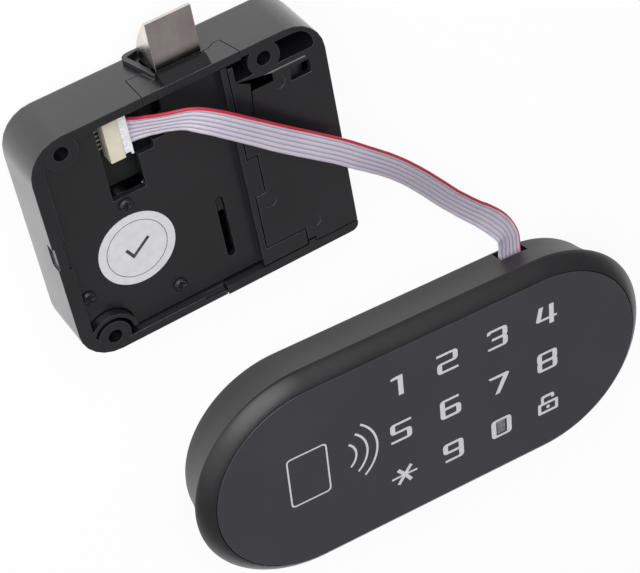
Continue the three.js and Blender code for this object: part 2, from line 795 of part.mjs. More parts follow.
function lockCase() {
  const outline = (inset) => {
    const radii = [cornerRadius, coverCornerRadius, cornerRadius, cornerRadius];
    const shrunk = radii.map((radius) => Math.max(radius - inset, touchGap));
    return roundedOutline(left + inset, right - inset, near + inset, far - inset, shrunk);
  };
  const fillet = filletShares.map((share) => {
    const angle = share * Math.PI / 2;
    const z = coverThickness + baseFillet * (1 - Math.cos(angle));
    return { outline: outline(baseFillet * (1 - Math.sin(angle))), z };
  });
  const shell = loft([...fillet, { outline: outline(0), z: boxHeight }]);
  const roomRadii = [innerCornerRadius, touchGap, touchGap, innerCornerRadius];
  const roomOutline = roundedOutline(roomLeft, dividerLeft, roomNear, roomFar, roomRadii);
  const room = prism(roomOutline, floorTop, aboveBox);
  const nearStep = block(coverLeft - fitGap, right + overrun, near - overrun, caseNear, 0, aboveBox);
  const nearInner = block(coverLeft - fitGap, dividerLeft, caseNear, nearInnerWall, floorSeat,
    plateBottom - fitGap);
  const coverBed = block(coverLeft - fitGap, right + overrun, near - overrun, coverFarY + fitGap, 0,
    bayFloor);
  const bayMouth = block(bayLeft + ledgeWidth, bayRight - ledgeWidth, near, bayFar, 0, roofBottom);
  const bay = block(bayLeft, bayRight, near, bayFar, floorTop, roofBottom);
  const railTop = floorTop + fitGap + railLip;
  const partition = block(bayLeft - touchGap, bayRight + touchGap, bayNear - partitionThickness, bayNear,
    railTop + fitGap, roofBottom + touchGap);
  const underTab = block(dividerLeft - touchGap, plateRight + tabReach + fitGap, tabNearY - fitGap,
    tabFarY + fitGap, roofBottom - fitGap, aboveBox);
  const extensionFar = caseNear + extensionWidth + fitGap;
  const underExtension = block(dividerLeft - touchGap, extensionRight + fitGap, caseNear - overrun,
    extensionFar, roofBottom - fitGap, aboveBox);
  const hookSlot = block(hookX - hookWidth / 2 - fitGap, hookX + hookWidth / 2 + fitGap, caseNear - overrun,
    caseNear + hookDepth + fitGap, roofBottom - overrun, aboveBox);
  const [bossX, bossY] = rightBoss;
  const leftPocket = block(bossX - bossRadius - pocketWidth + overrun, bossX - bossRadius + overrun,
    bayFar + bayEndWall + touchGap, far - pocketFarWall, pocketFloor, aboveBox);
  const cornerPocketRadii = [touchGap, overrun, cornerPocketRadius, touchGap];
  const cornerPocketRight = right - cornerPocketInset;
  const cornerPocketOutline = roundedOutline(cornerPocketRight - cornerPocketWidth, cornerPocketRight,
    bayFar + bayEndWall, far - pocketFarWall, cornerPocketRadii);
  const cornerPocket = prism(cornerPocketOutline, pocketFloor, aboveBox);
  const windows = [
    block(cellXs[0] - bridgeWindowLeft, cellXs[0] + bridgeWindowRight, bridgeFace - bridgeWindowNear,
      bridgeFace - bridgeWindowFar, roofBottom - overrun, aboveBox),
    block(cellXs[1] - springWindowLeft, cellXs[1] + springWindowRight, bridgeFace - springWindowNear,
      bridgeFace - springWindowFar, roofBottom - overrun, aboveBox),
  ];
  const bridgeCentre = (cellXs[0] + cellXs[1]) / 2;
  const slitHalf = bridgeLength / 2 + touchGap;
  const bridgeSlit = block(bridgeCentre - slitHalf, bridgeCentre + slitHalf, bridgeFace - touchGap,
    bridgeFace + contactThickness + touchGap, roofBottom - overrun, aboveBox);
  const notchBottom = boxHeight - rimNotchDepth;
  const rimNotches = [
    block(nearNotchLeft, nearNotchRight, near + wall / 2, roomNear + overrun, notchBottom, aboveBox),
    block(roomLeft - overrun, roomLeft + overrun, leftNotchNear, leftNotchFar, notchBottom, aboveBox),
  ];
  const guideNotch = wallPrism(guideOutline(touchGap), roomFar - overrun, far + overrun);
  const posts = screwPlaces.map(([x, y]) =>
    drum(postRadius, x, y, floorSeat, plateBottom - touchGap));
  const postHoles = screwPlaces.map(([x, y]) =>
    drum(postHole, x, y, floorTop + overrun, plateBottom + overrun));
  const [guardX, guardY] = bossPlaces[1];
  const guard = cut(
    drum(bossGuardRadius, guardX, guardY, floorSeat, boxHeight),
    drum(bossGuardRadius - bossGuardWall, guardX, guardY, floorTop - overrun, aboveBox),
    block(left - overrun, right, near - bossGuardRadius, near + bossInsetY + touchGap, 0, aboveBox),
  );
  const railY0 = sliderNearY + fitGap;
  const railY1 = boltRearY + boltShank / 2;
  const floorRibs = [-1, 1].map((side) => {
    const x = boltX + side * sliderWidth / 4;
    return block(x - floorRibWidth / 2, x + floorRibWidth / 2, nearInnerWall + sliderHeight, railY1,
      floorSeat, ribTop);
  });
  const boltRight = boltX + boltWidth / 2 + fitGap;
  const boltLeft = boltX - boltWidth / 2 - fitGap;
  const rackFar = rackNearY + rackLength;
  const sideRails = [
    block(boltRight, boltRight + sideRailThickness, railY0, railY1, floorSeat, floorTop + sideRailHeight),
    block(boltLeft - sideRailThickness, boltLeft, rackFar + overrun, railY1, floorSeat,
      boardBottom - touchGap - fitGap),
  ];
  const axleSocket = drum(axleRadius + bearingWall, gearX, gearY, floorSeat, sliderBottom);
  const axleBore = drum(axleRadius + axleClearance, gearX, gearY, floorTop + touchGap,
    sliderBottom + overrun);
  const ringBore = motorRadius + runGap;
  const motorRing = cut(
    drum(ringBore + motorRingWall, motorX, motorY, floorSeat, floorTop + motorRingHeight, motorSides),
    drum(ringBore, motorX, motorY, floorSeat, boxHeight, motorSides),
  );
  const boardRibs = [boardNearY, (boardNearY + boardFarY - boardRibWidth) / 2].map((y) =>
    block(roomLeft - touchGap, boardLeft + boardRibWidth * 2, y, y + boardRibWidth, floorSeat,
      boardBottom - touchGap));
  const innerBoardRib = block(boardRight - boardRibWidth * 3, boardRight - fitGap, boardNearY + fitGap,
    boardNearY + boardRibWidth * 2, floorSeat, boardBottom - touchGap);
  const plateRibs = [roomNear + innerCornerRadius * 2, roomFar - innerCornerRadius * 2].map((y) =>
    block(roomLeft - touchGap, roomLeft + boardRibWidth, y - boardRibWidth, y + boardRibWidth,
      floorSeat, plateBottom - touchGap));
  const rodSocket = drumAlongY(guideRodRadius + axleClearance, boltX, rodZ, caseNear + runGap,
    nearInnerWall + overrun, slimSides);
  const cradle = cellXs.map((x) => drumAlongY(cellDiameter / 2 + runGap, x, cellZ, near, far));
  const cradleRibs = cradleShares.map((share) => {
    const y = bayNear + share * (bayFar - bayNear);
    const rib = block(bayLeft - touchGap, bayRight + touchGap, y - contactThickness, y + contactThickness * 2,
      cellZ + cellDiameter / 4, roofBottom + touchGap);
    return cut(rib, ...cradle);
  });
  let body = cut(shell, room, nearStep, coverBed, bayMouth, bay);
  body = join(body, nearInner, partition, ...posts, guard, ...floorRibs, ...sideRails, ...boardRibs,
    innerBoardRib, ...plateRibs, ...cradleRibs, ...bossPlaces.map(([x, y]) => bossRing(x, y)));
  body = cut(body, leftPocket, cornerPocket);
  body = join(body, bossRing(bossX, bossY), axleSocket, motorRing);
  return cut(body, underTab, underExtension, hookSlot, ...windows, bridgeSlit, ...rimNotches, guideNotch,
    ...postHoles, rodSocket, axleBore, bossHole(bossX, bossY), ...bossPlaces.map(([x, y]) => bossHole(x, y)));
}

// Back plate: sunk panel, raised border, tab and extension, with its openings
function backPlate() {
  const radii = [innerCornerRadius - fitGap, touchGap, touchGap, innerCornerRadius - fitGap];
  const edge = roundedOutline(roomLeft + fitGap, plateRight, roomNear + fitGap, roomFar - fitGap, radii);
  const panel = prism(edge, plateBottom, plateTop);
  const border = block(borderLeft, plateRight, roomNear + fitGap, roomFar - fitGap, plateTop - touchGap,
    boxHeight);
  const tab = block(borderLeft, plateRight + tabReach, tabNearY, tabFarY, roofBottom, boxHeight);
  const extension = block(borderLeft, extensionRight, caseNear + runGap, caseNear + extensionWidth,
    roofBottom, boxHeight);
  const slotRadius = slotWidth / 2;
  const slotEnds = [slotNearY + slotRadius, slotFarY - slotRadius];
  const slot = join(
    block(slotX - slotRadius, slotX + slotRadius, slotEnds[0], slotEnds[1], 0, boxHeight),
    ...slotEnds.map((y) => drum(slotRadius, slotX, y, 0, boxHeight)),
  );
  const cutouts = [
    block(cutoutLeft, cutoutRight, cutoutNearY, far, 0, boxHeight),
    block(cutoutRight - overrun, notchRight, notchNearY, wideCutoutNearY + overrun, 0, boxHeight),
    block(cutoutRight - overrun, cableNotchRight, cableNotchNearY, wideCutoutNearY + overrun, 0, boxHeight),
    block(cutoutRight - overrun, wideCutoutRight, wideCutoutNearY, far, 0, boxHeight),
  ];
  const boltChannel = block(boltX - boltWidth / 2 - fitGap, boltX + boltWidth / 2 + fitGap,
    boltRearY - boltTravel - fitGap, far, 0, boltTop + fitGap);
  const bossCuts = bossPlaces.map(([x, y], index) =>
    drum((index === 1 ? bossGuardRadius : bossRadius) + fitGap, x, y, 0, aboveBox));
  const screwHoles = screwPlaces.map(([x, y]) => drum(screwRadius + axleClearance, x, y, 0, boxHeight));
  const axleBoss = cut(
    drum(axleRadius + bearingWall, gearX, gearY, trainTop + fitGap, plateBottom + touchGap),
    drum(axleRadius + axleClearance, gearX, gearY, 0, plateBottom + plateThickness / 2),
  );
  const axleHole = drum(axleRadius + axleClearance, gearX, gearY, 0, plateBottom + plateThickness / 2);
  const awayFromGear = motorRadius - clampRadius;
  const clampX = motorX + awayFromGear * Math.cos(motorBearing);
  const clampY = motorY + awayFromGear * Math.sin(motorBearing);
  const motorClamp = drum(clampRadius, clampX, clampY, motorTop + fitGap, plateBottom + touchGap);
  const cover = cut(join(panel, border), slot, ...cutouts, boltChannel, ...bossCuts, ...screwHoles, axleHole);
  return join(cover, tab, extension, axleBoss, motorClamp);
}

function plateScrew([x, y]) {
  return panScrew(x, y, plateTop + touchGap, screwHeadRadius, screwHeadHeight, screwRadius, screwLength);
}

function roundSticker() {
  const bottom = plateTop + touchGap;
  return drum(stickerRadius, stickerX, stickerY, bottom, bottom + stickerThickness, stickerSides);
}

// Guide round the bolt, with a collar that stands proud of the wall
function boltGuide() {
  const body = wallPrism(guideOutline(-seatGap), roomFar + touchGap, far);
  const boltLeft = boltX - boltWidth / 2 - fitGap;
  const boltRight = boltX + boltWidth / 2 + fitGap;
  const window = block(boltLeft, boltRight, 0, far + collarProud + overrun, boltBottom - fitGap,
    boltTop + fitGap);
  const crown = block(guideLeft - overrun, guideRight + overrun, 0, far + overrun, boxHeight,
    aboveBox + overrun);
  const recess = block(boltLeft, boltRight, far - guideRecessDepth, far + overrun, boltTop - overrun,
    boxHeight - guideLipHeight);
  const collarRight = boltRight + collarArm / 2;
  const collarTop = boltTop + fitGap;
  const collar = cut(
    wallPrism(roundedOutline(collarLeft, collarRight, collarBottom, collarTop,
      [collarCorner, touchGap, touchGap, touchGap]), far + touchGap, far + collarProud),
    block(boltLeft - touchGap, collarRight + overrun, far, far + collarProud + overrun,
      boltBottom - fitGap, boxHeight),
  );
  const link = block(collarLeft + touchGap, boltLeft - touchGap, far - touchGap, far + collarProud / 2,
    guideLeftZ + fitGap, boltTop);
  const flangeLow = guideShoulderZ + touchGap;
  const flangeHigh = plateBottom - fitGap;
  const flangeNear = roomFar - guideFlange;
  const flanges = [
    block(guideLeft - guideFlangeReach, boltLeft, flangeNear, roomFar - touchGap, flangeLow, flangeHigh),
    block(boltRight, plateRight - touchGap, flangeNear, roomFar - touchGap, flangeLow, flangeHigh),
  ];
  const necks = [
    block(guideLeft + fitGap, boltLeft, flangeNear, roomFar + overrun, flangeLow, flangeHigh),
    block(boltRight, plateRight - fitGap, flangeNear, roomFar + overrun, flangeLow, flangeHigh),
  ];
  const underBolt = block(boltLeft - fitGap - touchGap, boltRight + fitGap + overrun, 0, far, 0,
    boltBottom + touchGap);
  return join(cut(body, window, crown, recess, underBolt), collar, link, ...flanges, ...necks);
}

// Latch bolt: a bevelled nose, a shank and a tongue for the pin
function latchBolt() {
  const noseSteps = 5;
  const noseStart = boltTipY - boltHeight * boltNoseShare;
  const bevel = Array.from({ length: noseSteps + 1 }, (_, step) => {
    const share = step / noseSteps;
    const y = noseStart + (boltTipY - noseStart) * share;
    const rise = (boltHeight - boltTipThickness) * share ** boltBevelPower;
    return point(y, boltBottom + rise);
  });
  const tip = point(boltTipY, boltTop);
  const profile = [point(boltRearY, boltBottom), ...bevel, tip, point(boltRearY, boltTop)];
  const shankTop = block(boltX - boltWidth, boltX + boltWidth, boltRearY - overrun,
    far + collarProud + fitGap, boltTop - touchGap, boltTop + overrun);
  const body = cut(sidePrism(profile, boltX - boltWidth / 2, boltX + boltWidth / 2), shankTop);
  const tongue = block(boltX - tongueWidth / 2, boltX + tongueWidth / 2, boltRearY - tongueLength,
    boltRearY + overrun, tongueZ - tongueHeight / 2, tongueZ + tongueHeight / 2);
  const pinHole = drum(pinRadius + axleClearance, boltX, boltRearY - tongueLength / 2, 0, boxHeight);
  return cut(join(body, tongue), pinHole);
}

function boltPin() {
  return drum(pinRadius, boltX, boltRearY - tongueLength / 2, sliderBottom + fitGap,
    sliderBottom + sliderHeadHeight - fitGap);
}

// Slider with its rack, guide lug, spring bore and head
function boltSlider() {
  const x0 = boltX - sliderWidth / 2;
  const x1 = boltX + sliderWidth / 2;
  const headFar = boltRearY - fitGap;
  const base = block(x0, x1, sliderNearY, headFar, sliderBottom, sliderTop);
  const headTop = sliderBottom + sliderHeadHeight;
  const head = block(x0, x1, headFar - sliderHeadLength, headFar, sliderBottom, headTop);
  const pocketSide = tongueWidth / 2 + runGap;
  const pocketRise = tongueHeight / 2 + runGap;
  const pocket = block(boltX - pocketSide, boltX + pocketSide, boltRearY - tongueLength - runGap, boltRearY,
    tongueZ - pocketRise, tongueZ + pocketRise);
  const pinHole = drum(pinRadius + axleClearance, boltX, boltRearY - tongueLength / 2, 0, boxHeight);
  const lug = block(slotX - lugWidth / 2, slotX + lugWidth / 2, sliderNearY, sliderNearY + lugLength,
    sliderTop - touchGap, boxHeight - lugTopDrop);
  const boreEnd = guideRodEndY + boltTravel + looseGap;
  const bore = drumAlongY(guideRodRadius + guideRodClearance, boltX, rodZ, sliderNearY - overrun, boreEnd,
    slimSides);
  return cut(join(base, head, lug, rackTeeth(x0)), bore, pocket, pinHole);
}

function rackTeeth(x0) {
  const pitch = Math.PI * rackModule;
  const pitchX = gearX + gearPitchRadius;
  const slope = Math.tan(THREE.MathUtils.degToRad(pressureDegrees));
  const tipX = pitchX - addendumShare * rackModule;
  const rootX = pitchX + dedendumShare * rackModule;
  const halfTooth = toothShare * pitch / 2;
  const rackBottom = sliderBottom + fitGap;
  const rackTop = rackBottom + rackFaceWidth;
  const teeth = [];
  const first = Math.ceil((rackNearY + pitch / 2 - gearY) / pitch - 0.5);
  const last = Math.floor((rackNearY + rackLength - pitch / 2 - gearY) / pitch - 0.5);
  for (let index = first; index <= last; index += 1) {
    const y = gearY + (index + 0.5) * pitch;
    const rootHalf = halfTooth + (rootX - pitchX) * slope;
    const tipHalf = halfTooth - (pitchX - tipX) * slope;
    const outline = [
      point(tipX, y - tipHalf),
      point(tipX, y + tipHalf),
      point(rootX, y + rootHalf),
      point(rootX, y - rootHalf),
    ];
    teeth.push(prism(outline, rackBottom, rackTop));
  }
  const back = block(rootX - touchGap, x0 + overrun, rackNearY, rackNearY + rackLength, rackBottom, rackTop);
  return join(back, ...teeth);
}

function returnSpring() {
  return coilSpring("return_spring", boltX, rodZ, nearInnerWall + touchGap, sliderNearY - fitGap,
    springRadius, springWire, springTurns);
}

function guideRod() {
  return drumAlongY(guideRodRadius, boltX, rodZ, caseNear + runGap + touchGap, guideRodEndY, slimSides);
}

// Gear train
function driveGear() {
  const small = gear(rackGearTeeth, rackModule, 0, gearX, gearY, sliderBottom + looseGap,
    trainBottom + touchGap);
  const large = gear(trainGearTeeth, trainModule, 0, gearX, gearY, trainBottom, trainTop);
  const bore = drum(axleRadius + axleClearance, gearX, gearY, 0, boxHeight);
  return cut(join(small, large), bore);
}

function gearAxle() {
  return drum(axleRadius, gearX, gearY, floorTop + seatGap, plateBottom + plateThickness / 2 - touchGap);
}

function motor() {
  const can = drum(motorRadius, motorX, motorY, motorBottom, motorTop, motorSides);
  const nose = drum(motorBossRadius, motorX, motorY, motorTop - touchGap, motorTop + motorBossHeight);
  const bore = drum(motorShaftRadius + axleClearance, motorX, motorY, motorTop - motorHeight / 4, boxHeight,
    slimSides);
  return cut(join(can, nose), bore);
}

function motorPinion() {
  const gearPhaseAtPinion = motorBearing / (2 * Math.PI / trainGearTeeth);
  const fraction = gearPhaseAtPinion - Math.floor(gearPhaseAtPinion);
  const phase = motorBearing + Math.PI + (fraction - 0.5) * 2 * Math.PI / motorPinionTeeth;
  const teeth = gear(motorPinionTeeth, trainModule, phase, motorX, motorY, trainBottom, trainTop);
  return cut(teeth, drum(motorShaftRadius + touchGap, motorX, motorY, 0, boxHeight, slimSides));
}

function motorShaft() {
  return drum(motorShaftRadius, motorX, motorY, motorTop - motorHeight / 4 + touchGap, trainTop + touchGap,
    slimSides);
}

// Control board, header, pins and the ribbon's plug
function controlBoard() {
  const board = block(boardLeft, boardRight, boardNearY, boardFarY, boardBottom, boardTop);
  const chipNear = boardNearY + chipSize;
  const chips = [boardLeft + chipInset, boardRight - chipInset - chipSize].map((x) =>
    block(x, x + chipSize, chipNear, chipNear + chipSize, boardTop - touchGap, boardTop + chipHeight));
  return join(board, ...chips);
}

function sounder() {
  const x = (boardLeft + boardRight) / 2;
  const top = boardBottom - touchGap;
  return drum(sounderRadius, x, boardFarY - sounderRadius * 2, top - sounderHeight, top, discSides);
}

function boardHeader() {
  const bottom = boardTop + touchGap;
  const back = headerNearX - headerDepth;
  const headerFarY = headerNearY + headerLength;
  const top = bottom + headerHeight;
  const body = block(back, headerNearX, headerNearY, headerFarY, bottom, top);
  const mouth = block(back + headerWall, headerNearX + overrun, headerNearY + headerWall,
    headerFarY - headerWall, bottom + headerWall, top - headerWall);
  return cut(body, mouth);
}

function headerPin(index) {
  const y = headerNearY + headerLength / 2 + (index - (pinCount - 1) / 2) * pinPitch;
  const bottom = boardTop + touchGap;
  const back = headerNearX - headerDepth - touchGap;
  return block(back - pinReach, back, y - pinWidth / 2, y + pinWidth / 2, bottom, bottom + pinWidth);
}

function ribbonPlug() {
  const bottom = boardTop + touchGap;
  const top = bottom + headerHeight;
  const headerFarY = headerNearY + headerLength;
  const side = headerWall + seatGap;
  const rim = headerWall / 2;
  const inner = block(headerNearX - plugDepth + seatGap, headerNearX + touchGap, headerNearY + side,
    headerFarY - side, bottom + side, top - side);
  const outer = block(headerNearX + touchGap, headerNearX + plugProud, headerNearY + headerWall,
    headerFarY - rim, bottom + rim, top - rim);
  return join(inner, outer);
}

// Ribbon cable: a flat band whose section is carried along the route
function ribbonCable() {
  const width = ribbonPitch * pinCount;
  const stops = ribbonRoute.map(([x, y, z]) => new THREE.Vector3(x, y, z));
  const turns = ribbonRoute.map(([, , , roll]) => new THREE.Vector3(roll, 0, 0));
  const line = new THREE.CatmullRomCurve3(stops);
  const rolls = new THREE.CatmullRomCurve3(turns);
  const up = new THREE.Vector3(0, 0, 1);
  const stations = Array.from({ length: ribbonSteps + 1 }, (_, step) => {
    const share = step / ribbonSteps;
    const run = line.getTangent(share);
    const level = up.clone().cross(run).normalize();
    const roll = THREE.MathUtils.degToRad(rolls.getPoint(share).x);
    const side = level.applyAxisAngle(run, roll);
    return { centre: line.getPoint(share), side, rise: run.clone().cross(side).normalize() };
  });
  const half = width / 2;
  const thick = ribbonThickness / 2;
  const chamfer = thick / 2;
  const section = [
    [half, -chamfer], [half, chamfer], [half - chamfer, thick], [chamfer - half, thick],
    [-half, chamfer], [-half, -chamfer], [chamfer - half, -thick], [half - chamfer, -thick],
  ];
  return sweep(stations, section);
}

// Battery cover with its end wall, rails, grip ribs and snap hook
function batteryCover() {
  const nearY = near - coverProud;
  const radii = [touchGap, coverCornerRadius, touchGap, touchGap];
  const plate = prism(roundedOutline(coverLeft, right, nearY, coverFarY, radii), 0, coverThickness);
  const endOutline = roundedOutline(coverLeft, right, nearY, caseNear - fitGap, radii);
  const endWall = prism(endOutline, coverThickness - touchGap, boxHeight);
  const railBase = coverThickness - touchGap;
  const railTop = floorTop + fitGap + railLip;
  const railNear = bayNear + overrun;
  const railFar = coverFarY - overrun - coverTravel / 2;
  const rails = [-1, 1].flatMap((side) => {
    const ledgeEdge = side < 0 ? bayLeft + ledgeWidth : bayRight - ledgeWidth;
    const webA = ledgeEdge - side * fitGap;
    const webB = webA - side * railThickness;
    const lipA = ledgeEdge + side * (railFlange - fitGap);
    return [
      block(Math.min(webA, webB), Math.max(webA, webB), railNear, railFar, railBase, railTop),
      block(Math.min(webA, lipA) - touchGap, Math.max(webA, lipA) + touchGap, railNear, railFar,
        floorTop + fitGap, railTop),
    ];
  });
  const grips = Array.from({ length: gripCount }, (_, index) => {
    const x = (coverLeft + right) / 2;
    const y = near + gripLead + index * gripPitch;
    return block(x - gripWidth / 2, x + gripWidth / 2, y - gripDepth, y + gripDepth, -overrun, gripDepth);
  });
  const hook = block(hookX - hookWidth / 2, hookX + hookWidth / 2, caseNear - fitGap - touchGap,
    caseNear - fitGap + hookDepth, boxHeight - hookHeight, boxHeight - touchGap);
  return cut(join(plate, endWall, ...rails, hook), ...grips);
}

// Cells and contacts
function batteryCell(index) {
  const x = cellXs[index];
  const toBridge = index === 0;
  const start = toBridge ? bridgeFace - touchGap - cellLength : terminalFace + touchGap;
  const bodyStart = toBridge ? start : start + nubLength;
  const bodyEnd = bodyStart + cellLength - nubLength;
  const body = drumAlongY(cellDiameter / 2, x, cellZ, bodyStart, bodyEnd, cellSides);
  const nub = toBridge
    ? drumAlongY(nubDiameter / 2, x, cellZ, bodyEnd - touchGap, start + cellLength)
    : drumAlongY(nubDiameter / 2, x, cellZ, start, bodyStart + touchGap);
  return join(body, nub);
}

function contactBridge() {
  const centre = (cellXs[0] + cellXs[1]) / 2;
  return block(centre - bridgeLength / 2, centre + bridgeLength / 2, bridgeFace,
    bridgeFace + contactThickness, floorTop + bridgeRise, boxHeight - bridgeTopDrop);
}

function contactSpring(name, x, y0, y1) {
  return coilSpring(name, x, cellZ, y0, y1, contactCoilRadius, contactWire, contactTurns);
}

function bridgeSpring() {
  const cellEnd = terminalFace + touchGap + cellLength;
  return contactSpring("contact_spring", cellXs[1], cellEnd + touchGap, bridgeFace - touchGap);
}

function terminal(index) {
  const x = cellXs[index];
  return block(x - terminalWidth / 2, x + terminalWidth / 2, terminalFace - contactThickness, terminalFace,
    cellZ - terminalHeight / 3, cellZ + terminalHeight * 2 / 3);
}

function terminalSpring() {
  const cellEnd = bridgeFace - touchGap - cellLength;
  return contactSpring("terminal_spring", cellXs[0], terminalFace + touchGap, cellEnd - touchGap);
}

// Keypad pieces, drawn about the middle of the glass
function keypadScrewPlaces() {
  const v = glassRadius - keypadScrewInset;
  const sides = [-1, 1].flatMap((a) => [-1, 1].map((b) => [a * keypadScrewU, b * v]));
  return [...sides, [-(glassStraight + v), 0], [glassStraight + v, 0]];
}

function keypadHousing() {
  const rise = housingTop - housingFillet;
  const level = (share) => {
    const margin = housingBaseMargin + (housingTopMargin - housingBaseMargin) * share ** housingCurvePower;
    return { outline: stadium(margin), z: housingFillet + rise * share };
  };
  const fillet = filletShares.slice(0, -1).map((share) => {
    const angle = share * Math.PI / 2;
    const margin = housingBaseMargin - housingFillet * (1 - Math.sin(angle));
    return { outline: stadium(margin), z: housingFillet * (1 - Math.cos(angle)) };
  });
  const outer = loft([...fillet, ...housingLevelShares.map(level)]);
  const inner = loft([
    { outline: stadium(housingBaseMargin - housingWall), z: housingFloor },
    { outline: stadium(housingTopMargin - housingWall - fitGap), z: housingTop + overrun },
  ]);
  const notch = block(socketU - cableNotchWidth / 2, socketU + cableNotchWidth / 2, glassRadius / 2,
    glassRadius + housingTopMargin + overrun, housingFillet, housingFillet + cableNotchHeight);
  const bosses = keypadScrewPlaces().map(([u, v]) =>
    drum(keypadBossRadius, u, v, housingFloor - touchGap, ledgeBottom - skirtDepth - fitGap));
  const headSeat = keypadScrewRecess + keypadScrewHeadHeight + touchGap;
  const holes = keypadScrewPlaces().flatMap(([u, v]) => [
    drum(keypadScrewRadius + axleClearance, u, v, -overrun, glassTop),
    drum(keypadScrewHeadRadius + axleClearance, u, v, -overrun, headSeat),
  ]);
  const insertTop = insertLength + fitGap;
  const insertBosses = [-1, 1].map((side) =>
    drum(insertRadius + insertBossWall, side * insertU, 0, housingFloor - touchGap,
      insertTop + housingFloor));
  const insertHoles = [-1, 1].map((side) =>
    drum(insertRadius + touchGap, side * insertU, 0, -overrun, insertTop));
  return cut(join(cut(outer, inner, notch), ...bosses, ...insertBosses), ...holes, ...insertHoles);
}

function mountInsert(side) {
  return cut(
    drum(insertRadius, side * insertU, 0, seatGap, insertLength),
    drum(insertBore, side * insertU, 0, -overrun, insertLength + overrun),
  );
}

function keypadBezel() {
  const profile = [
    [bezelMargin - bezelSideBand / 2, bezelBottom],
    [bezelMargin, bezelBottom + bezelSideBand],
    [bezelMargin, bezelBottom + bezelSideBand + bezelSideBand],
    [bezelShoulderMargin, bezelCrest - bezelShoulderDrop],
    [(bezelShoulderMargin + bezelCrestMargin) / 2, bezelCrest - bezelShoulderDrop / 4],
    [bezelCrestMargin, bezelCrest],
    [fitGap, glassTop - bezelGrooveDrop],
    [fitGap, ledgeTop],
    [-bezelLedge, ledgeTop],
    [-bezelLedge, ledgeBottom],
    [skirtThickness - bezelLedge, ledgeBottom],
    [skirtThickness - bezelLedge, ledgeBottom - skirtDepth],
    [skirtThickness + skirtThickness - bezelLedge, ledgeBottom - skirtDepth],
    [skirtThickness + skirtThickness - bezelLedge, bezelBottom],
  ];
  const ring = stadiumRing(profile);
  const bosses = keypadScrewPlaces().map(([u, v]) =>
    drum(keypadBossRadius, u, v, ledgeBottom - skirtDepth + touchGap, ledgeTop - touchGap));
  const holes = keypadScrewPlaces().map(([u, v]) =>
    drum(keypadScrewRadius + touchGap, u, v, 0, ledgeTop - fitGap));
  return cut(join(ring, ...bosses), ...holes);
}

function touchPanel() {
  const sheet = prism(stadium(0), glassBottom, glassTop);
  return cut(sheet, windowBlock(touchGap, glassTop + overrun));
}

function windowBlock(grow, top) {
  const halfWidth = windowWidth / 2 + grow;
  const halfHeight = windowHeight / 2 + grow;
  return block(windowU - halfWidth, windowU + halfWidth, windowV - halfHeight, windowV + halfHeight,
    glassTop - windowThickness - grow, top);
}

function statusWindow() {
  return windowBlock(0, glassTop - touchGap);
}

function touchBoard() {
  return prism(stadium(-touchBoardInset), touchBoardBottom, touchBoardTop);
}

function readerCoil() {
  const x0 = coilU - coilLength / 2;
  const y0 = -coilWidth / 2;
  const top = touchBoardBottom - touchGap;
  const outline = (inset) => {
    const corner = coilCorner - inset;
    return roundedOutline(x0 + inset, x0 + coilLength - inset, y0 + inset, y0 + coilWidth - inset,
      [corner, corner, corner, corner]);
  };
  const winding = prism(outline(0), top - coilThickness, top);
  return cut(winding, prism(outline(coilTrack), top - overrun, top + overrun));
}

function keypadScrew([u, v]) {
  const length = ledgeTop - looseGap - keypadScrewRecess - keypadScrewHeadHeight;
  const seat = -(keypadScrewRecess + keypadScrewHeadHeight);
  const screw = panScrew(u, -v, seat, keypadScrewHeadRadius, keypadScrewHeadHeight, keypadScrewRadius,
    length);
  return screw.rotate([180, 0, 0]);
}

function keypadSocket() {
  const half = headerLength / 2;
  const bottom = socketTop - headerHeight;
  const body = block(socketU - half, socketU + half, socketV, socketV + socketDepth, bottom, socketTop);
  const mouth = block(socketU - half + headerWall, socketU + half - headerWall, socketV + headerWall,
    socketV + socketDepth + overrun, bottom + headerWall, socketTop - headerWall);
  return cut(body, mouth);
}

function keypadPlug() {
  const half = headerLength / 2;
  const bottom = socketTop - headerHeight;
  const side = headerWall + seatGap;
  const rim = headerWall / 2;
  const face = socketV + socketDepth + touchGap;
  const inner = block(socketU - half + side, socketU + half - side, face - plugDepth, face, bottom + side,
    socketTop - side);
  const outer = block(socketU - half + rim, socketU + half - rim, face, face + plugProud - touchGap,
    bottom + rim, socketTop - rim);
  return join(inner, outer);
}

function keypadBuzzer() {
  return drum(sounderRadius, buzzerU, buzzerV, socketTop - sounderHeight, socketTop, discSides);
}

// Materials
function material(color, roughness, metalness = 0) {
  return new THREE.MeshStandardMaterial({ color, roughness, metalness });
}

const blackPlastic = material(0x2b2b2e, 0.55);
const gearPlastic = material(0xe8e4d8, 0.5);
const boltMetal = material(0xa09a95, 0.3, 1);
const springSteel = material(0xb8bbc0, 0.3, 1);
const screwSteel = material(0x3a3a3d, 0.35, 1);
const brass = material(0xb5923f, 0.35, 1);
const boardGreen = material(0x1f4a33, 0.5);
const cream = material(0xd8d0b0, 0.5);
const whitePlastic = material(0xf0efe8, 0.5);
const ribbonGrey = material(0xb9b2c6, 0.5);
const sheetSteel = material(0xcfd2d4, 0.25, 1);
const cellSleeve = material(0x8a8f96, 0.35, 1);
const motorSteel = material(0xb6b8ba, 0.3, 1);
const paper = material(0xe9e9ea, 0.6);
const panelGlass = material(0x3c3c42, 0.15);
const bezelPlastic = material(0x35353a, 0.35);
const copper = material(0xb87333, 0.4, 1);
const lens = material(0x9a9aa0, 0.3);

// Assembly
const lockBox = new THREE.Group();
const keypad = new THREE.Group();
const assembly = new THREE.Group();

function place(group, name, solid, look) {
  const mesh = new THREE.Mesh(geometryFrom(solid), look);
  mesh.name = name;
  group.add(mesh);
}

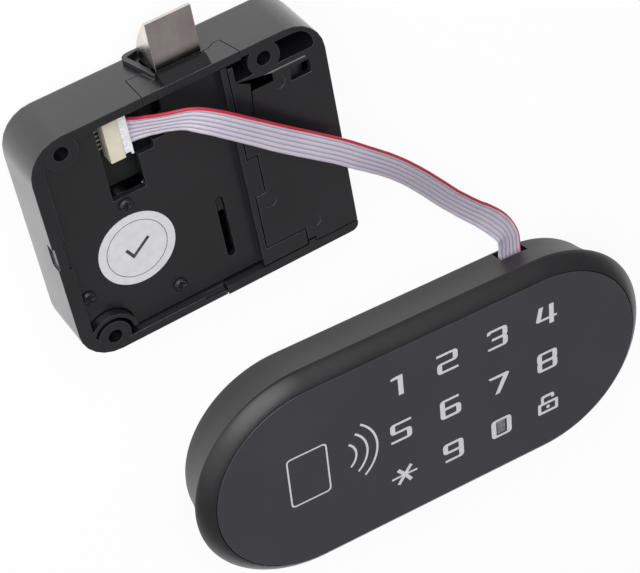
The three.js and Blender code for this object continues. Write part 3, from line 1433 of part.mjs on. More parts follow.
place(lockBox, "lock_case", lockCase(), blackPlastic);
place(lockBox, "back_plate", backPlate(), blackPlastic);
screwPlaces.forEach((spot, index) => {
  place(lockBox, `plate_screw_${index + 1}`, plateScrew(spot), screwSteel);
});
place(lockBox, "round_sticker", roundSticker(), paper);
place(lockBox, "bolt_guide", boltGuide(), blackPlastic);
place(lockBox, "latch_bolt", latchBolt(), boltMetal);
place(lockBox, "bolt_pin", boltPin(), springSteel);
place(lockBox, "bolt_slider", boltSlider(), gearPlastic);
place(lockBox, "return_spring", returnSpring(), springSteel);
place(lockBox, "guide_rod", guideRod(), springSteel);
place(lockBox, "drive_gear", driveGear(), gearPlastic);
place(lockBox, "gear_axle", gearAxle(), springSteel);
place(lockBox, "motor", motor(), motorSteel);
place(lockBox, "motor_pinion", motorPinion(), brass);
place(lockBox, "motor_shaft", motorShaft(), springSteel);
place(lockBox, "control_board", controlBoard(), boardGreen);
place(lockBox, "sounder", sounder(), blackPlastic);
place(lockBox, "board_header", boardHeader(), cream);
for (let index = 0; index < pinCount; index += 1) {
  place(lockBox, `header_pin_${index + 1}`, headerPin(index), sheetSteel);
}
place(lockBox, "ribbon_plug", ribbonPlug(), whitePlastic);
place(lockBox, "battery_cover", batteryCover(), blackPlastic);
place(lockBox, "battery_cell_1", batteryCell(0), cellSleeve);
place(lockBox, "battery_cell_2", batteryCell(1), cellSleeve);
place(lockBox, "contact_bridge", contactBridge(), sheetSteel);
place(lockBox, "contact_spring", bridgeSpring(), springSteel);
place(lockBox, "terminal_plus", terminal(1), sheetSteel);
place(lockBox, "terminal_minus", terminal(0), sheetSteel);
place(lockBox, "terminal_spring", terminalSpring(), springSteel);
place(lockBox, "ribbon_cable", ribbonCable(), ribbonGrey);
place(keypad, "keypad_housing", keypadHousing(), blackPlastic);
place(keypad, "mount_insert_left", mountInsert(-1), brass);
place(keypad, "mount_insert_right", mountInsert(1), brass);
place(keypad, "keypad_bezel", keypadBezel(), bezelPlastic);
place(keypad, "touch_panel", touchPanel(), panelGlass);
place(keypad, "status_window", statusWindow(), lens);
place(keypad, "touch_board", touchBoard(), boardGreen);
place(keypad, "reader_coil", readerCoil(), copper);
place(keypad, "keypad_buzzer", keypadBuzzer(), blackPlastic);
place(keypad, "keypad_socket", keypadSocket(), cream);
place(keypad, "keypad_plug", keypadPlug(), whitePlastic);
keypadScrewPlaces().forEach((spot, index) => {
  place(keypad, `keypad_screw_${index + 1}`, keypadScrew(spot), screwSteel);
});

keypad.position.set(keypadX, keypadY, 0);
keypad.rotation.z = THREE.MathUtils.degToRad(keypadTurnDegrees);
assembly.add(lockBox, keypad);

// The frame's origin is the middle of the whole object's footprint, leaving the ribbon out
assembly.updateMatrixWorld(true);
const extent = new THREE.Box3();
assembly.traverse((item) => {
  if (item.isMesh && item.name !== "ribbon_cable") {
    extent.expandByObject(item, true);
  }
});
const middle = extent.getCenter(new THREE.Vector3());
assembly.position.set(-middle.x, -middle.y, 0);

export default assembly;
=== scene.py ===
import json
import math

import bpy
from mathutils import Matrix, Vector

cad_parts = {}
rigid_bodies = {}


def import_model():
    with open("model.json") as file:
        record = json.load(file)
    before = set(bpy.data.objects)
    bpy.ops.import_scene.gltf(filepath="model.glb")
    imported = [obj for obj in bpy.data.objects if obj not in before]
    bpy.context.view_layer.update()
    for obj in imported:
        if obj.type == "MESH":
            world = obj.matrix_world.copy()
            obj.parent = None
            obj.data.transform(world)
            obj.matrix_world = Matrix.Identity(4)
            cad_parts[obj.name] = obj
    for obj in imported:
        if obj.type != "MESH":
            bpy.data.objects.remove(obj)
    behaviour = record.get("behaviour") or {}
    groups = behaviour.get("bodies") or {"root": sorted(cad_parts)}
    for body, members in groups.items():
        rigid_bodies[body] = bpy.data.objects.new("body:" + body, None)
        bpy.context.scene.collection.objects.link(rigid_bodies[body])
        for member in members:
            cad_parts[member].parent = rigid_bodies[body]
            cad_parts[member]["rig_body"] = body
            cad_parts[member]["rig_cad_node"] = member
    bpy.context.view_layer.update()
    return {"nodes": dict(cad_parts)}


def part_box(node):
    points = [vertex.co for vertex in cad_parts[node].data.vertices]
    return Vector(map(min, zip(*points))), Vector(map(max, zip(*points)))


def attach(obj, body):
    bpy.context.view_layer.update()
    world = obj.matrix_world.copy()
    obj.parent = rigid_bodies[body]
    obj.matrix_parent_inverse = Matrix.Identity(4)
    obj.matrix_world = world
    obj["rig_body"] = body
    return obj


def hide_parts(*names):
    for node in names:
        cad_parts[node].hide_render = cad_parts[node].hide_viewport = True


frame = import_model()

# Camera: it looks down on the lock from beyond its latch side, rolled so that the latch side is up in the
# picture. Its turn and place come from fitting the rim, the keypad's figures and the ribbon's edges.
picture_right = Vector((0.84862, -0.15282, 0.50645))
picture_down = Vector((-0.44156, -0.73184, 0.51907))
picture_ahead = Vector((0.29132, -0.66412, -0.68854))
camera_place = Vector((-0.180192, 0.376612, 0.403853))
camera_data = bpy.data.cameras.new("camera")
camera_data.sensor_width = 36
camera_data.lens = 123.17
camera = bpy.data.objects.new("camera", camera_data)
bpy.context.scene.collection.objects.link(camera)
camera.matrix_world = Matrix((picture_right, -picture_down, -picture_ahead)).transposed().to_4x4()
camera.matrix_world.translation = camera_place
bpy.context.scene.camera = camera

# Ribbon cable: six stranded conductors in one grey PVC band, the first of them red, crimped into a plug at
# each end. It springs up out of the lock box, arches over it and comes down behind the keypad.
MM = 0.001
LOCK_CENTRE = Vector((-0.04245752, 0.05094170, 0))
ribbon_route = [
    (-0.01205, 0.0227, 0.0138, 0),
    (-0.0113, 0.0227, 0.0139, 0),
    (-0.0102, 0.0229, 0.0147, 3),
    (-0.0074, 0.0236, 0.0170, 10),
    (-0.0043, 0.0241, 0.0193, 17),
    (0.0006, 0.0240, 0.0221, 15.5),
    (0.0055, 0.0214, 0.0237, 14.3),
    (0.0108, 0.0171, 0.0240, 13.2),
    (0.0162, 0.0123, 0.0236, 11),
    (0.0216, 0.0074, 0.0231, 7.8),
    (0.0270, 0.0027, 0.0225, 6.3),
    (0.0322, -0.0017, 0.0222, 8.4),
    (0.0372, -0.0061, 0.0217, 11.2),
    (0.0420, -0.0109, 0.0209, 12.6),
    (0.0469, -0.0160, 0.0194, 15.3),
    (0.0516, -0.0213, 0.0176, 19.8),
    (0.0559, -0.0267, 0.0157, 23.5),
    (0.0598, -0.0320, 0.0137, 25.4),
    (0.0635, -0.0374, 0.0117, 25.8),
    (0.0672, -0.0429, 0.0098, 25.2),
    (0.0709, -0.0485, 0.0080, 23.7),
    (0.0748, -0.0539, 0.0064, 20.9),
    (0.0787, -0.0591, 0.0052, 16.2),
    (0.0827, -0.0640, 0.0042, 8.5),
    (0.0867, -0.0694, 0.0036, -5.2),
    (0.0896, -0.0744, 0.0034, -16),
    (0.0907, -0.0788, 0.0031, -7),
    (0.0905, -0.0832, 0.0030, 0),
    (0.0902, -0.0874, 0.0039, 0),
    (0.0899, -0.0914, 0.0072, 0),
    (0.0895, -0.0949, 0.0118, 0),
    (0.0893, -0.0971, 0.0132, 0),
    (0.0893, -0.0980, 0.01325, 0),
]
conductors = 6
conductor_pitch = 1.27 * MM
ribbon_half_thickness = 0.45 * MM
ribbon_width = conductors * conductor_pitch
stations_per_point = 8


def paint(red, green, blue):
    """A colour as it shows on a screen, 0 to 255, as the linear one that a shader takes."""
    shown = [level / 255 for level in (red, green, blue)]
    return tuple(level / 12.92 if level < 0.04 else ((level + 0.055) / 1.055) ** 2.4 for level in shown)


def spline_between(before, first, last, after, share):
    """A point between first and last on the centripetal curve that also heeds the points on either side."""
    legs = ((before, first), (first, last), (last, after))
    gap_in, gap, gap_out = [max((b - a).length, 1e-9) ** 0.5 for a, b in legs]
    leave = ((first - before) / gap_in - (last - before) / (gap_in + gap) + (last - first) / gap) * gap
    reach = ((last - first) / gap - (after - first) / (gap + gap_out) + (after - last) / gap_out) * gap
    bow = 3 * (last - first) - 2 * leave - reach
    turn = 2 * (first - last) + leave + reach
    return first + leave * share + bow * share**2 + turn * share**3


ribbon_places = [Vector(stop[:3]) + LOCK_CENTRE for stop in ribbon_route]
ribbon_rolls = [math.radians(stop[3]) for stop in ribbon_route]
ribbon_line = []
for leg in range(len(ribbon_places) - 1):
    first, last = ribbon_places[leg], ribbon_places[leg + 1]
    before = ribbon_places[leg - 1] if leg else 2 * first - last
    after = ribbon_places[leg + 2] if leg + 2 < len(ribbon_places) else 2 * last - first
    for step in range(stations_per_point):
        share = step / stations_per_point
        eased = share * share * (3 - 2 * share)
        roll = ribbon_rolls[leg] + (ribbon_rolls[leg + 1] - ribbon_rolls[leg]) * eased
        ribbon_line.append((spline_between(before, first, last, after, share), roll))
ribbon_line.append((ribbon_places[-1], ribbon_rolls[-1]))

arc_degrees = (160, 138, 114, 90, 66, 42, 20)
upper_side = []
for conductor in range(conductors):
    middle = (conductor + 0.5) * conductor_pitch - ribbon_width / 2
    for degrees in arc_degrees:
        angle = math.radians(degrees)
        across = middle + math.cos(angle) * conductor_pitch / 2
        upper_side.append((across, math.sin(angle) * ribbon_half_thickness))
ribbon_section = [(-ribbon_width / 2, 0), *upper_side, (ribbon_width / 2, 0)]
ribbon_section += [(across, -rise) for across, rise in reversed(upper_side)]

verts, shares = [], []
for index, (place, roll) in enumerate(ribbon_line):
    ahead = ribbon_line[min(index + 1, len(ribbon_line) - 1)][0] - ribbon_line[max(index - 1, 0)][0]
    run = ahead.normalized()
    level = Vector((0, 0, 1)).cross(run).normalized()
    side = Matrix.Rotation(roll, 3, run) @ level
    rise_way = run.cross(side).normalized()
    for across, rise in ribbon_section:
        verts.append(place + side * across + rise_way * rise)
        shares.append((across / ribbon_width + 0.5, index / len(ribbon_line)))
ring = len(ribbon_section)
faces = [tuple(reversed(range(ring))), tuple(range(len(verts) - ring, len(verts)))]
for index in range(len(ribbon_line) - 1):
    for corner in range(ring):
        a = index * ring + corner
        b = index * ring + (corner + 1) % ring
        faces.append((a, b, b + ring, a + ring))
ribbon_mesh = bpy.data.meshes.new("ribbon_band")
ribbon_mesh.from_pydata(verts, [], faces)
ribbon_map = ribbon_mesh.uv_layers.new(name="across")
for loop in ribbon_mesh.loops:
    ribbon_map.data[loop.index].uv = shares[loop.vertex_index]
ribbon = bpy.data.objects.new("ribbon_band", ribbon_mesh)
bpy.context.scene.collection.objects.link(ribbon)


def clear_selection():
    if bpy.context.mode != "OBJECT":
        bpy.ops.object.mode_set(mode="OBJECT")
    bpy.ops.object.select_all(action="DESELECT")


def pick(piece):
    """Leaves piece alone selected and active."""
    clear_selection()
    piece.hide_viewport = False
    piece.select_set(True)
    bpy.context.view_layer.objects.active = piece


def point_outwards(piece, merge=0.0):
    pick(piece)
    bpy.ops.object.mode_set(mode="EDIT")
    bpy.ops.mesh.select_all(action="SELECT")
    if merge:
        bpy.ops.mesh.remove_doubles(threshold=merge)
    bpy.ops.mesh.normals_make_consistent(inside=False)
    bpy.ops.object.mode_set(mode="OBJECT")


def smooth(piece, degrees=32):
    """Shades round parts smooth and keeps large flat faces flat."""
    pick(piece)
    bpy.ops.object.shade_smooth_by_angle(angle=math.radians(degrees))
    flat_faces = piece.modifiers.new("flat_faces", "WEIGHTED_NORMAL")
    flat_faces.keep_sharp = True
    bpy.ops.object.modifier_apply(modifier="flat_faces")


def new_finish(name, colour, rough, metal=0.0):
    """A material of one colour and gloss, with the Object coordinates that its patterns read."""
    material = bpy.data.materials.new(name)
    material.use_nodes = True
    nodes = material.node_tree.nodes
    shader = nodes["Principled BSDF"]
    shader.inputs["Base Color"].default_value = (*colour, 1)
    shader.inputs["Roughness"].default_value = rough
    shader.inputs["Metallic"].default_value = metal
    coords = nodes.new("ShaderNodeTexCoord")
    coords.name = "coords"
    return material


def speckle(material, scale, stretch=(1, 1, 1)):
    """Noise on Object coordinates, stretched where the tool marks run one way."""
    nodes, links = material.node_tree.nodes, material.node_tree.links
    mapping = nodes.new("ShaderNodeMapping")
    mapping.inputs["Scale"].default_value = stretch
    links.new(nodes["coords"].outputs["Object"], mapping.inputs["Vector"])
    noise = nodes.new("ShaderNodeTexNoise")
    noise.inputs["Scale"].default_value = scale
    noise.inputs["Detail"].default_value = 3.0
    links.new(mapping.outputs["Vector"], noise.inputs["Vector"])
    return noise.outputs["Fac"]


def grain(material, source, depth):
    """Relief of that depth in metres from a speckle."""
    nodes, links = material.node_tree.nodes, material.node_tree.links
    bump = nodes.new("ShaderNodeBump")
    bump.inputs["Strength"].default_value = 1.0
    bump.inputs["Distance"].default_value = depth
    links.new(source, bump.inputs["Height"])
    shader = nodes["Principled BSDF"]
    if shader.inputs["Normal"].links:
        links.new(shader.inputs["Normal"].links[0].from_socket, bump.inputs["Normal"])
    links.new(bump.outputs["Normal"], shader.inputs["Normal"])


def mottle(material, source, low, high, start=0.35, end=0.65):
    """Base colour that drifts between two shades with a speckle."""
    nodes, links = material.node_tree.nodes, material.node_tree.links
    ramp = nodes.new("ShaderNodeValToRGB")
    ramp.color_ramp.elements[0].position = start
    ramp.color_ramp.elements[0].color = (*low, 1)
    ramp.color_ramp.elements[1].position = end
    ramp.color_ramp.elements[1].color = (*high, 1)
    links.new(source, ramp.inputs["Fac"])
    links.new(ramp.outputs["Color"], nodes["Principled BSDF"].inputs["Base Color"])


def uneven_gloss(material, source, low, high):
    """Roughness that drifts with a speckle, as handling and tool polish leave it."""
    nodes, links = material.node_tree.nodes, material.node_tree.links
    span = nodes.new("ShaderNodeMapRange")
    span.inputs["From Min"].default_value = 0.3
    span.inputs["From Max"].default_value = 0.7
    span.inputs["To Min"].default_value = low
    span.inputs["To Max"].default_value = high
    links.new(source, span.inputs["Value"])
    links.new(span.outputs["Result"], nodes["Principled BSDF"].inputs["Roughness"])


def finished(piece, material, body):
    """Gives a new piece its material and its body."""
    piece.data.materials.clear()
    piece.data.materials.append(material)
    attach(piece, body)


def dress(material, *names):
    """Gives CAD nodes a material in their own slots."""
    for name in names:
        for place in frame["nodes"][name].material_slots:
            place.material = material


ribbon_lilac = paint(207, 199, 215)
# The darker colour between the conductors is painted shade in the creases of the band.
ribbon_crease_shade = paint(146, 137, 154)
ribbon_pink = paint(222, 196, 208)
ribbon_red = paint(184, 40, 64)
crease_shade_share = 0.024
red_share = 0.94
red_fade_share = 0.03
ribbon_pvc = new_finish("ribbon_pvc", ribbon_lilac, 0.42)
nodes, links = ribbon_pvc.node_tree.nodes, ribbon_pvc.node_tree.links
band = nodes.new("ShaderNodeUVMap")
band.uv_map = "across"
split = nodes.new("ShaderNodeSeparateXYZ")
stripes = nodes.new("ShaderNodeValToRGB")
marks = [(0.0, ribbon_lilac)]
for gap in range(1, conductors):
    middle = gap / conductors
    marks.append((middle - crease_shade_share, ribbon_lilac))
    marks.append((middle, ribbon_crease_shade))
    marks.append((middle + crease_shade_share, ribbon_lilac))
marks += [(red_share - red_fade_share, ribbon_pink), (red_share, ribbon_red), (1.0, ribbon_red)]
while len(stripes.color_ramp.elements) < len(marks):
    stripes.color_ramp.elements.new(0.5)
for element, (position, colour) in zip(stripes.color_ramp.elements, marks):
    element.position = position
    element.color = (*colour, 1)
links.new(band.outputs["UV"], split.inputs["Vector"])
links.new(split.outputs["X"], stripes.inputs["Fac"])
links.new(stripes.outputs["Color"], nodes["Principled BSDF"].inputs["Base Color"])
grain(ribbon_pvc, speckle(ribbon_pvc, 900), 0.00004)
finished(ribbon, ribbon_pvc, "lock_body")
point_outwards(ribbon)
smooth(ribbon, 60)
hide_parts("ribbon_cable")

# Plugs of the ribbon: small white nylon housings with a crimp contact for each conductor, pushed into the
# header in the lock box and into the socket under the keypad's board.
weld_distance = 0.000004
flat_within = math.radians(1)
sharp_from = math.radians(34)
plug_nylon = new_finish("plug_nylon", paint(236, 236, 240), 0.4)
mottle(plug_nylon, speckle(plug_nylon, 260), paint(228, 229, 234), paint(243, 243, 246))
grain(plug_nylon, speckle(plug_nylon, 2400), 0.00003)


def cut_away(piece, *cutters):
    """Cuts spare blocks out of a piece and drops them."""
    for cutter in cutters:
        pick(piece)
        cut = piece.modifiers.new("cut", "BOOLEAN")
        cut.operation = "DIFFERENCE"
        cut.object = cutter
        bpy.ops.object.modifier_apply(modifier="cut")
        bpy.data.objects.remove(cutter)


def refined(node, name, material, edge, body="lock_body", segments=2, shape=None, highlight_finish=None, cutters=(),
            clamp=True):
    """A copy of a CAD node, its triangles joined into flat faces and its edges broken by edge millimetres."""
    copy = frame["nodes"][node].copy()
    copy.data = frame["nodes"][node].data.copy()
    copy.parent = None
    copy.name = name
    copy.data.name = name
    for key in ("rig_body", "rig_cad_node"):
        if key in copy:
            del copy[key]
    bpy.context.scene.collection.objects.link(copy)
    pick(copy)
    bpy.ops.object.mode_set(mode="EDIT")
    bpy.ops.mesh.select_all(action="SELECT")
    bpy.ops.mesh.remove_doubles(threshold=weld_distance)
    bpy.ops.mesh.normals_make_consistent(inside=False)
    bpy.ops.object.mode_set(mode="OBJECT")
    if copy.data.has_custom_normals:
        bpy.ops.mesh.customdata_custom_splitnormals_clear()
    if shape:
        shape(copy)
    cut_away(copy, *cutters)
    pick(copy)
    bpy.ops.object.mode_set(mode="EDIT")
    bpy.ops.mesh.select_all(action="SELECT")
    bpy.ops.mesh.dissolve_limited(angle_limit=flat_within)
    bpy.ops.mesh.select_all(action="DESELECT")
    bpy.ops.object.mode_set(mode="OBJECT")
    copy.data.materials.clear()
    copy.data.materials.append(material)
    break_edges = copy.modifiers.new("break_edges", "BEVEL")
    break_edges.width = edge * MM
    break_edges.segments = segments
    break_edges.limit_method = "ANGLE"
    break_edges.angle_limit = sharp_from
    break_edges.use_clamp_overlap = clamp
    # A second material, when one is given, goes on the broken edges: a lighter painted highlight along them.
    if highlight_finish:
        copy.data.materials.append(highlight_finish)
        break_edges.material = 1
    bpy.ops.object.modifier_apply(modifier="break_edges")
    smooth(copy)
    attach(copy, body)
    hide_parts(node)
    return copy


def settle(piece, place=None):
    """Moves a piece by place and writes where it is into its mesh, so that its object stays at the origin."""
    pick(piece)
    if place is not None:
        piece.matrix_world = place @ piece.matrix_world
    bpy.ops.object.transform_apply(location=True, rotation=True, scale=True)


def block(name, low, high, edge, place=None):
    """A small moulded or cut block between two corners, in millimetres, with every edge broken."""
    clear_selection()
    low, high = Vector(low) * MM, Vector(high) * MM
    bpy.ops.mesh.primitive_cube_add(size=1, location=(low + high) / 2)
    piece = bpy.context.object
    piece.name = piece.data.name = name
    piece.scale = high - low
    settle(piece)
    broken = piece.modifiers.new("broken_edges", "BEVEL")
    broken.width = edge * MM
    broken.segments = 2
    bpy.ops.object.modifier_apply(modifier="broken_edges")
    settle(piece, place)
    smooth(piece)
    return piece


def joined(first, *others):
    """One piece from several, each with its own mesh before."""
    pick(first)
    for other in others:
        other.select_set(True)
    bpy.ops.object.join()
    return first


in_lock = Matrix.Translation(LOCK_CENTRE)
nylon_edge = 0.15
lock_plug = refined("ribbon_plug", "lock_plug", plug_nylon, nylon_edge)
plug_middle = 23.3
plug_front = -12.4
header_front = -14.6
plug_top = 15.5
flange_low = (plug_front - 0.65, plug_middle - 6.1, 12.6)
flange_high = (plug_front, plug_middle + 6.0, plug_top + 0.3)
flange_edge = 0.12
rib_pitch = 1.84
rib_half_width = 0.62
rib_back, rib_front = header_front + 0.05, header_front + 1.25
rib_bottom, rib_top = plug_top - 0.4, plug_top + 0.22
rib_edge = 0.16
plug_parts = [block("plug_flange", flange_low, flange_high, flange_edge, in_lock)]
for rib in range(conductors):
    rib_y = plug_middle + (rib - (conductors - 1) / 2) * rib_pitch
    plug_parts.append(block(f"plug_rib_{rib + 1}", (rib_back, rib_y - rib_half_width, rib_bottom),
                            (rib_front, rib_y + rib_half_width, rib_top), rib_edge, in_lock))
for part in plug_parts:
    part.data.materials.append(plug_nylon)
joined(lock_plug, *plug_parts)
dress(plug_nylon, "keypad_plug")

# Lock box shell: one injection-moulded tray of black ABS. Its outer walls have a satin skin over a fine
# spark-eroded grain. The mould's pins leave round sunk marks in the roof of the battery bay, its broken edges
# carry a lighter painted highlight, and a shallow relief crosses the rim on the side away from the bay.
black_abs = new_finish("black_abs", paint(19, 19, 23), 0.34)
mottle(black_abs, speckle(black_abs, 60), paint(17, 17, 21), paint(22, 22, 26))
grain(black_abs, speckle(black_abs, 2600), 0.00003)
uneven_gloss(black_abs, speckle(black_abs, 90), 0.3, 0.38)


def satin_skin(material, weight, rough):
    """The thin glossy skin that a polished mould leaves on a plastic."""
    shader = material.node_tree.nodes["Principled BSDF"]
    shader.inputs["Coat Weight"].default_value = weight
    shader.inputs["Coat Roughness"].default_value = rough
    shader.inputs["Coat IOR"].default_value = 1.5


satin_skin(black_abs, 0.85, 0.28)
# Lighter grey for the broken edges of the black mouldings: a painted highlight.
edge_highlight_abs = new_finish("edge_highlight_abs", paint(56, 56, 62), 0.3)
mottle(edge_highlight_abs, speckle(edge_highlight_abs, 300), paint(44, 44, 49), paint(66, 66, 73))
satin_skin(edge_highlight_abs, 0.5, 0.25)
case_edge = 0.12
roof_top = 19.0
mark_depth = 0.35
mark_radius = 1.7
mark_places = ((25.5, 19.8), (16.85, -12.2), (27.4, -24.7))
relief_low, relief_high = (-39.6, -2.1, 16.0), (-38.5, 4.3, 19.6)
relief_edge = 0.15
case_cutters = []
for mark_x, mark_y in mark_places:
    clear_selection()
    bpy.ops.mesh.primitive_cylinder_add(vertices=40, radius=mark_radius * MM, depth=2 * mark_depth * MM,
                                        location=(mark_x * MM, mark_y * MM, roof_top * MM))
    mark = bpy.context.object
    settle(mark, in_lock)
    case_cutters.append(mark)
case_cutters.append(block("latch_relief", relief_low, relief_high, relief_edge, in_lock))
refined("lock_case", "lock_tray", black_abs, case_edge, highlight_finish=edge_highlight_abs, cutters=case_cutters,
        clamp=False)

# Back plate: a flat black ABS moulding with a duller grain than the shell. It lies below the shell's rim, and
# three screws hold it over the mechanism.
plate_abs = new_finish("plate_abs", paint(18, 18, 22), 0.4)
mottle(plate_abs, speckle(plate_abs, 45), paint(16, 16, 20), paint(21, 21, 25))
grain(plate_abs, speckle(plate_abs, 2600), 0.00003)
satin_skin(plate_abs, 0.8, 0.36)
refined("back_plate", "mechanism_plate", plate_abs, case_edge, highlight_finish=edge_highlight_abs, clamp=False)

# Plate screws: three self-tapping pan-head screws with a cross recess. They are blackened steel, with a
# brighter painted highlight round the rim of the head.
black_screw = new_finish("black_screw", paint(38, 38, 41), 0.34, 0.6)
mottle(black_screw, speckle(black_screw, 900), paint(32, 32, 35), paint(48, 48, 52))
uneven_gloss(black_screw, speckle(black_screw, 1500), 0.26, 0.42)
# Brighter steel on the rim of each head: a painted highlight.
screw_rim_highlight = new_finish("screw_rim_highlight", paint(92, 92, 96), 0.3, 0.7)
mottle(screw_rim_highlight, speckle(screw_rim_highlight, 1400), paint(70, 70, 74), paint(112, 112, 116))
head_edge = 0.14
for number in (1, 2, 3):
    refined(f"plate_screw_{number}", f"pan_screw_{number}", black_screw, head_edge, segments=3,
            highlight_finish=screw_rim_highlight)

# Round inspection sticker: coated white paper stuck flat on the back plate. A thin ring and a plain tick are
# printed on it in dark grey.
sticker_paper = new_finish("sticker_paper", paint(219, 219, 225), 0.5)
mottle(sticker_paper, speckle(sticker_paper, 500), paint(215, 215, 221), paint(223, 223, 229))
grain(sticker_paper, speckle(sticker_paper, 1800), 0.00002)
dress(sticker_paper, "round_sticker")
sticker_ink = new_finish("sticker_ink", paint(62, 62, 68), 0.55)
mottle(sticker_ink, speckle(sticker_ink, 1500), paint(52, 52, 58), paint(78, 78, 84))
sticker_x, sticker_y, sticker_top = -18.3, -8.5, 16.67
ink_thickness = 0.02
arc_steps = 6


def rounded(corners):
    """The points of an outline of corners, each (x, y), or (x, y, reach of the curve) where it is round."""
    points = []
    for index, corner in enumerate(corners):
        here = Vector(corner[:2])
        reach = corner[2] if len(corner) > 2 else 0
        if not reach:
            points.append(here)
            continue
        before = here + (Vector(corners[index - 1][:2]) - here).normalized() * reach
        after = here + (Vector(corners[(index + 1) % len(corners)][:2]) - here).normalized() * reach
        for step in range(arc_steps + 1):
            share = step / arc_steps
            points.append(before.lerp(here, share).lerp(here.lerp(after, share), share))
    return points


def circle(radius, sides=72, middle=(0, 0)):
    x, y = middle
    turns = [2 * math.pi * side / sides for side in range(sides)]
    return [Vector((x + radius * math.cos(turn), y + radius * math.sin(turn))) for turn in turns]


def printed(name, outlines, ink, place):
    """A flat print, in millimetres, from closed outlines: one inside another is a hole."""
    curve = bpy.data.curves.new(name, "CURVE")
    curve.dimensions = "2D"
    curve.fill_mode = "BOTH"
    curve.extrude = ink_thickness / 2
    for outline in outlines:
        spline = curve.splines.new("POLY")
        spline.points.add(len(outline) - 1)
        for point, (x, y) in zip(spline.points, outline):
            point.co = (x, y, ink_thickness / 2, 1)
        spline.use_cyclic_u = True
    piece = bpy.data.objects.new(name, curve)
    bpy.context.scene.collection.objects.link(piece)
    pick(piece)
    bpy.ops.object.convert(target="MESH")
    piece = bpy.context.object
    settle(piece, place @ Matrix.Scale(MM, 4))
    point_outwards(piece, 0.000001)
    finished(piece, ink, "lock_body")


on_sticker = in_lock @ Matrix.Translation(Vector((sticker_x, sticker_y, sticker_top)) * MM)
ring_radius = 8.1
ring_line = 0.16
printed("sticker_ring", [circle(ring_radius), circle(ring_radius - ring_line)], sticker_ink, on_sticker)
tick_half_width = 0.42
tick_start, tick_foot, tick_end = Vector((-2.9, 0.2)), Vector((-0.9, -2.1)), Vector((3.0, 2.6))
tick_down = (tick_foot - tick_start).normalized()
tick_up = (tick_end - tick_foot).normalized()
tick_aside = Vector((tick_down.y, -tick_down.x)) * tick_half_width
tick_rise_aside = Vector((tick_up.y, -tick_up.x)) * tick_half_width
tick_mitre = (tick_aside + tick_rise_aside).normalized() * (
    tick_half_width / math.cos(tick_down.angle_signed(tick_up) / 2))
tick = [
    tick_start - tick_aside, tick_foot - tick_mitre, tick_end - tick_rise_aside,
    tick_end + tick_rise_aside, tick_foot + tick_mitre, tick_start + tick_aside,
]
tick_turn = Matrix.Rotation(math.radians(-12), 4, "Z")
printed("sticker_tick", [tick], sticker_ink, on_sticker @ tick_turn)

# Guide let into the latch wall: black ABS, slid in from the open side. A collar with a slanted arm stands
# proud beside the bolt, with a slot between the two, and a ramp in front leads up to the bolt's face.
bolt_left, bolt_right, bolt_face = -2.2, 9.8, 15.0
latch_wall_face, collar_face = 33.2, 34.7
guide_gap = 0.3
arm_slant = Matrix.Rotation(math.radians(15), 4, "Y")
arm_foot = in_lock @ Matrix.Translation(Vector((-5.9, 0, 4.5)) * MM) @ arm_slant
arm_width = 1.25
slot_width, slot_depth = 3.3, 1
slot_foot, slot_head = 0.3, 11
collar_end = bolt_face + 0.5
wall_skin = latch_wall_face + 0.02
past_collar = collar_face + 1
past_roof = 20
cutter_edge = 0.1
guide_cutters = [
    block("beside_arm", (-6, wall_skin, -6), (0, past_collar, past_roof), cutter_edge, arm_foot),
    block("arm_slot", (arm_width, latch_wall_face - slot_depth, slot_foot),
          (arm_width + slot_width, past_collar, slot_head), cutter_edge, arm_foot),
    block("past_arm", (-7, wall_skin, collar_end), (bolt_left - 0.1, past_collar, past_roof), cutter_edge,
          in_lock),
]
guide = refined("bolt_guide", "latch_guide", black_abs, case_edge, highlight_finish=edge_highlight_abs,
                cutters=guide_cutters, clamp=False)
ramp_proud, ramp_sunk = 2.0, 0.1
ramp_foot, ramp_head = roof_top - 0.05, bolt_face + guide_gap
ramp_edge = 0.02
ramp = block("guide_ramp", (bolt_left - guide_gap, latch_wall_face - ramp_sunk, ramp_head),
             (bolt_right + guide_gap, latch_wall_face + ramp_proud, ramp_foot), ramp_edge, in_lock)
pick(ramp)
bpy.ops.object.mode_set(mode="EDIT")
bpy.ops.mesh.select_all(action="SELECT")
slope_place = in_lock @ (Vector((0, latch_wall_face, ramp_foot)) * MM)
slope_normal = (0, ramp_foot - ramp_head, ramp_proud)
bpy.ops.mesh.bisect(plane_co=slope_place, plane_no=slope_normal, use_fill=True, clear_outer=True)
bpy.ops.object.mode_set(mode="OBJECT")
smooth(ramp)
ramp_abs = new_finish("ramp_abs", paint(20, 20, 23), 0.55)
mottle(ramp_abs, speckle(ramp_abs, 80), paint(18, 18, 21), paint(23, 23, 26))
ramp_abs.node_tree.nodes["Principled BSDF"].inputs["Specular IOR Level"].default_value = 0.25
ramp.data.materials.append(ramp_abs)
joined(guide, ramp)

# Latch bolt: a zinc casting, linished along its length and nickel plated, bevelled on the side that strikes.
# The plating has a faint warm bloom, and painted shade darkens it where it leaves the guide.
# Where the painted shade on the bolt runs, in millimetres out from the lock's centre, and how much it
# darkens.
painted_shade_start, painted_shade_end = 35.4, 38.9
painted_shade_depth = 0.86
bolt_edge = 0.16
nickel = new_finish("nickel", paint(228, 218, 212), 0.24, 1.0)
mottle(nickel, speckle(nickel, 110, (1, 0.5, 1)), paint(212, 192, 194), paint(240, 232, 224), 0.36, 0.64)
grain(nickel, speckle(nickel, 1900, (1, 0.16, 1)), 0.000012)
uneven_gloss(nickel, speckle(nickel, 700, (1, 0.2, 1)), 0.2, 0.32)
nodes, links = nickel.node_tree.nodes, nickel.node_tree.links
shader = nodes["Principled BSDF"]
bright_colour = shader.inputs["Base Color"].links[0].from_socket
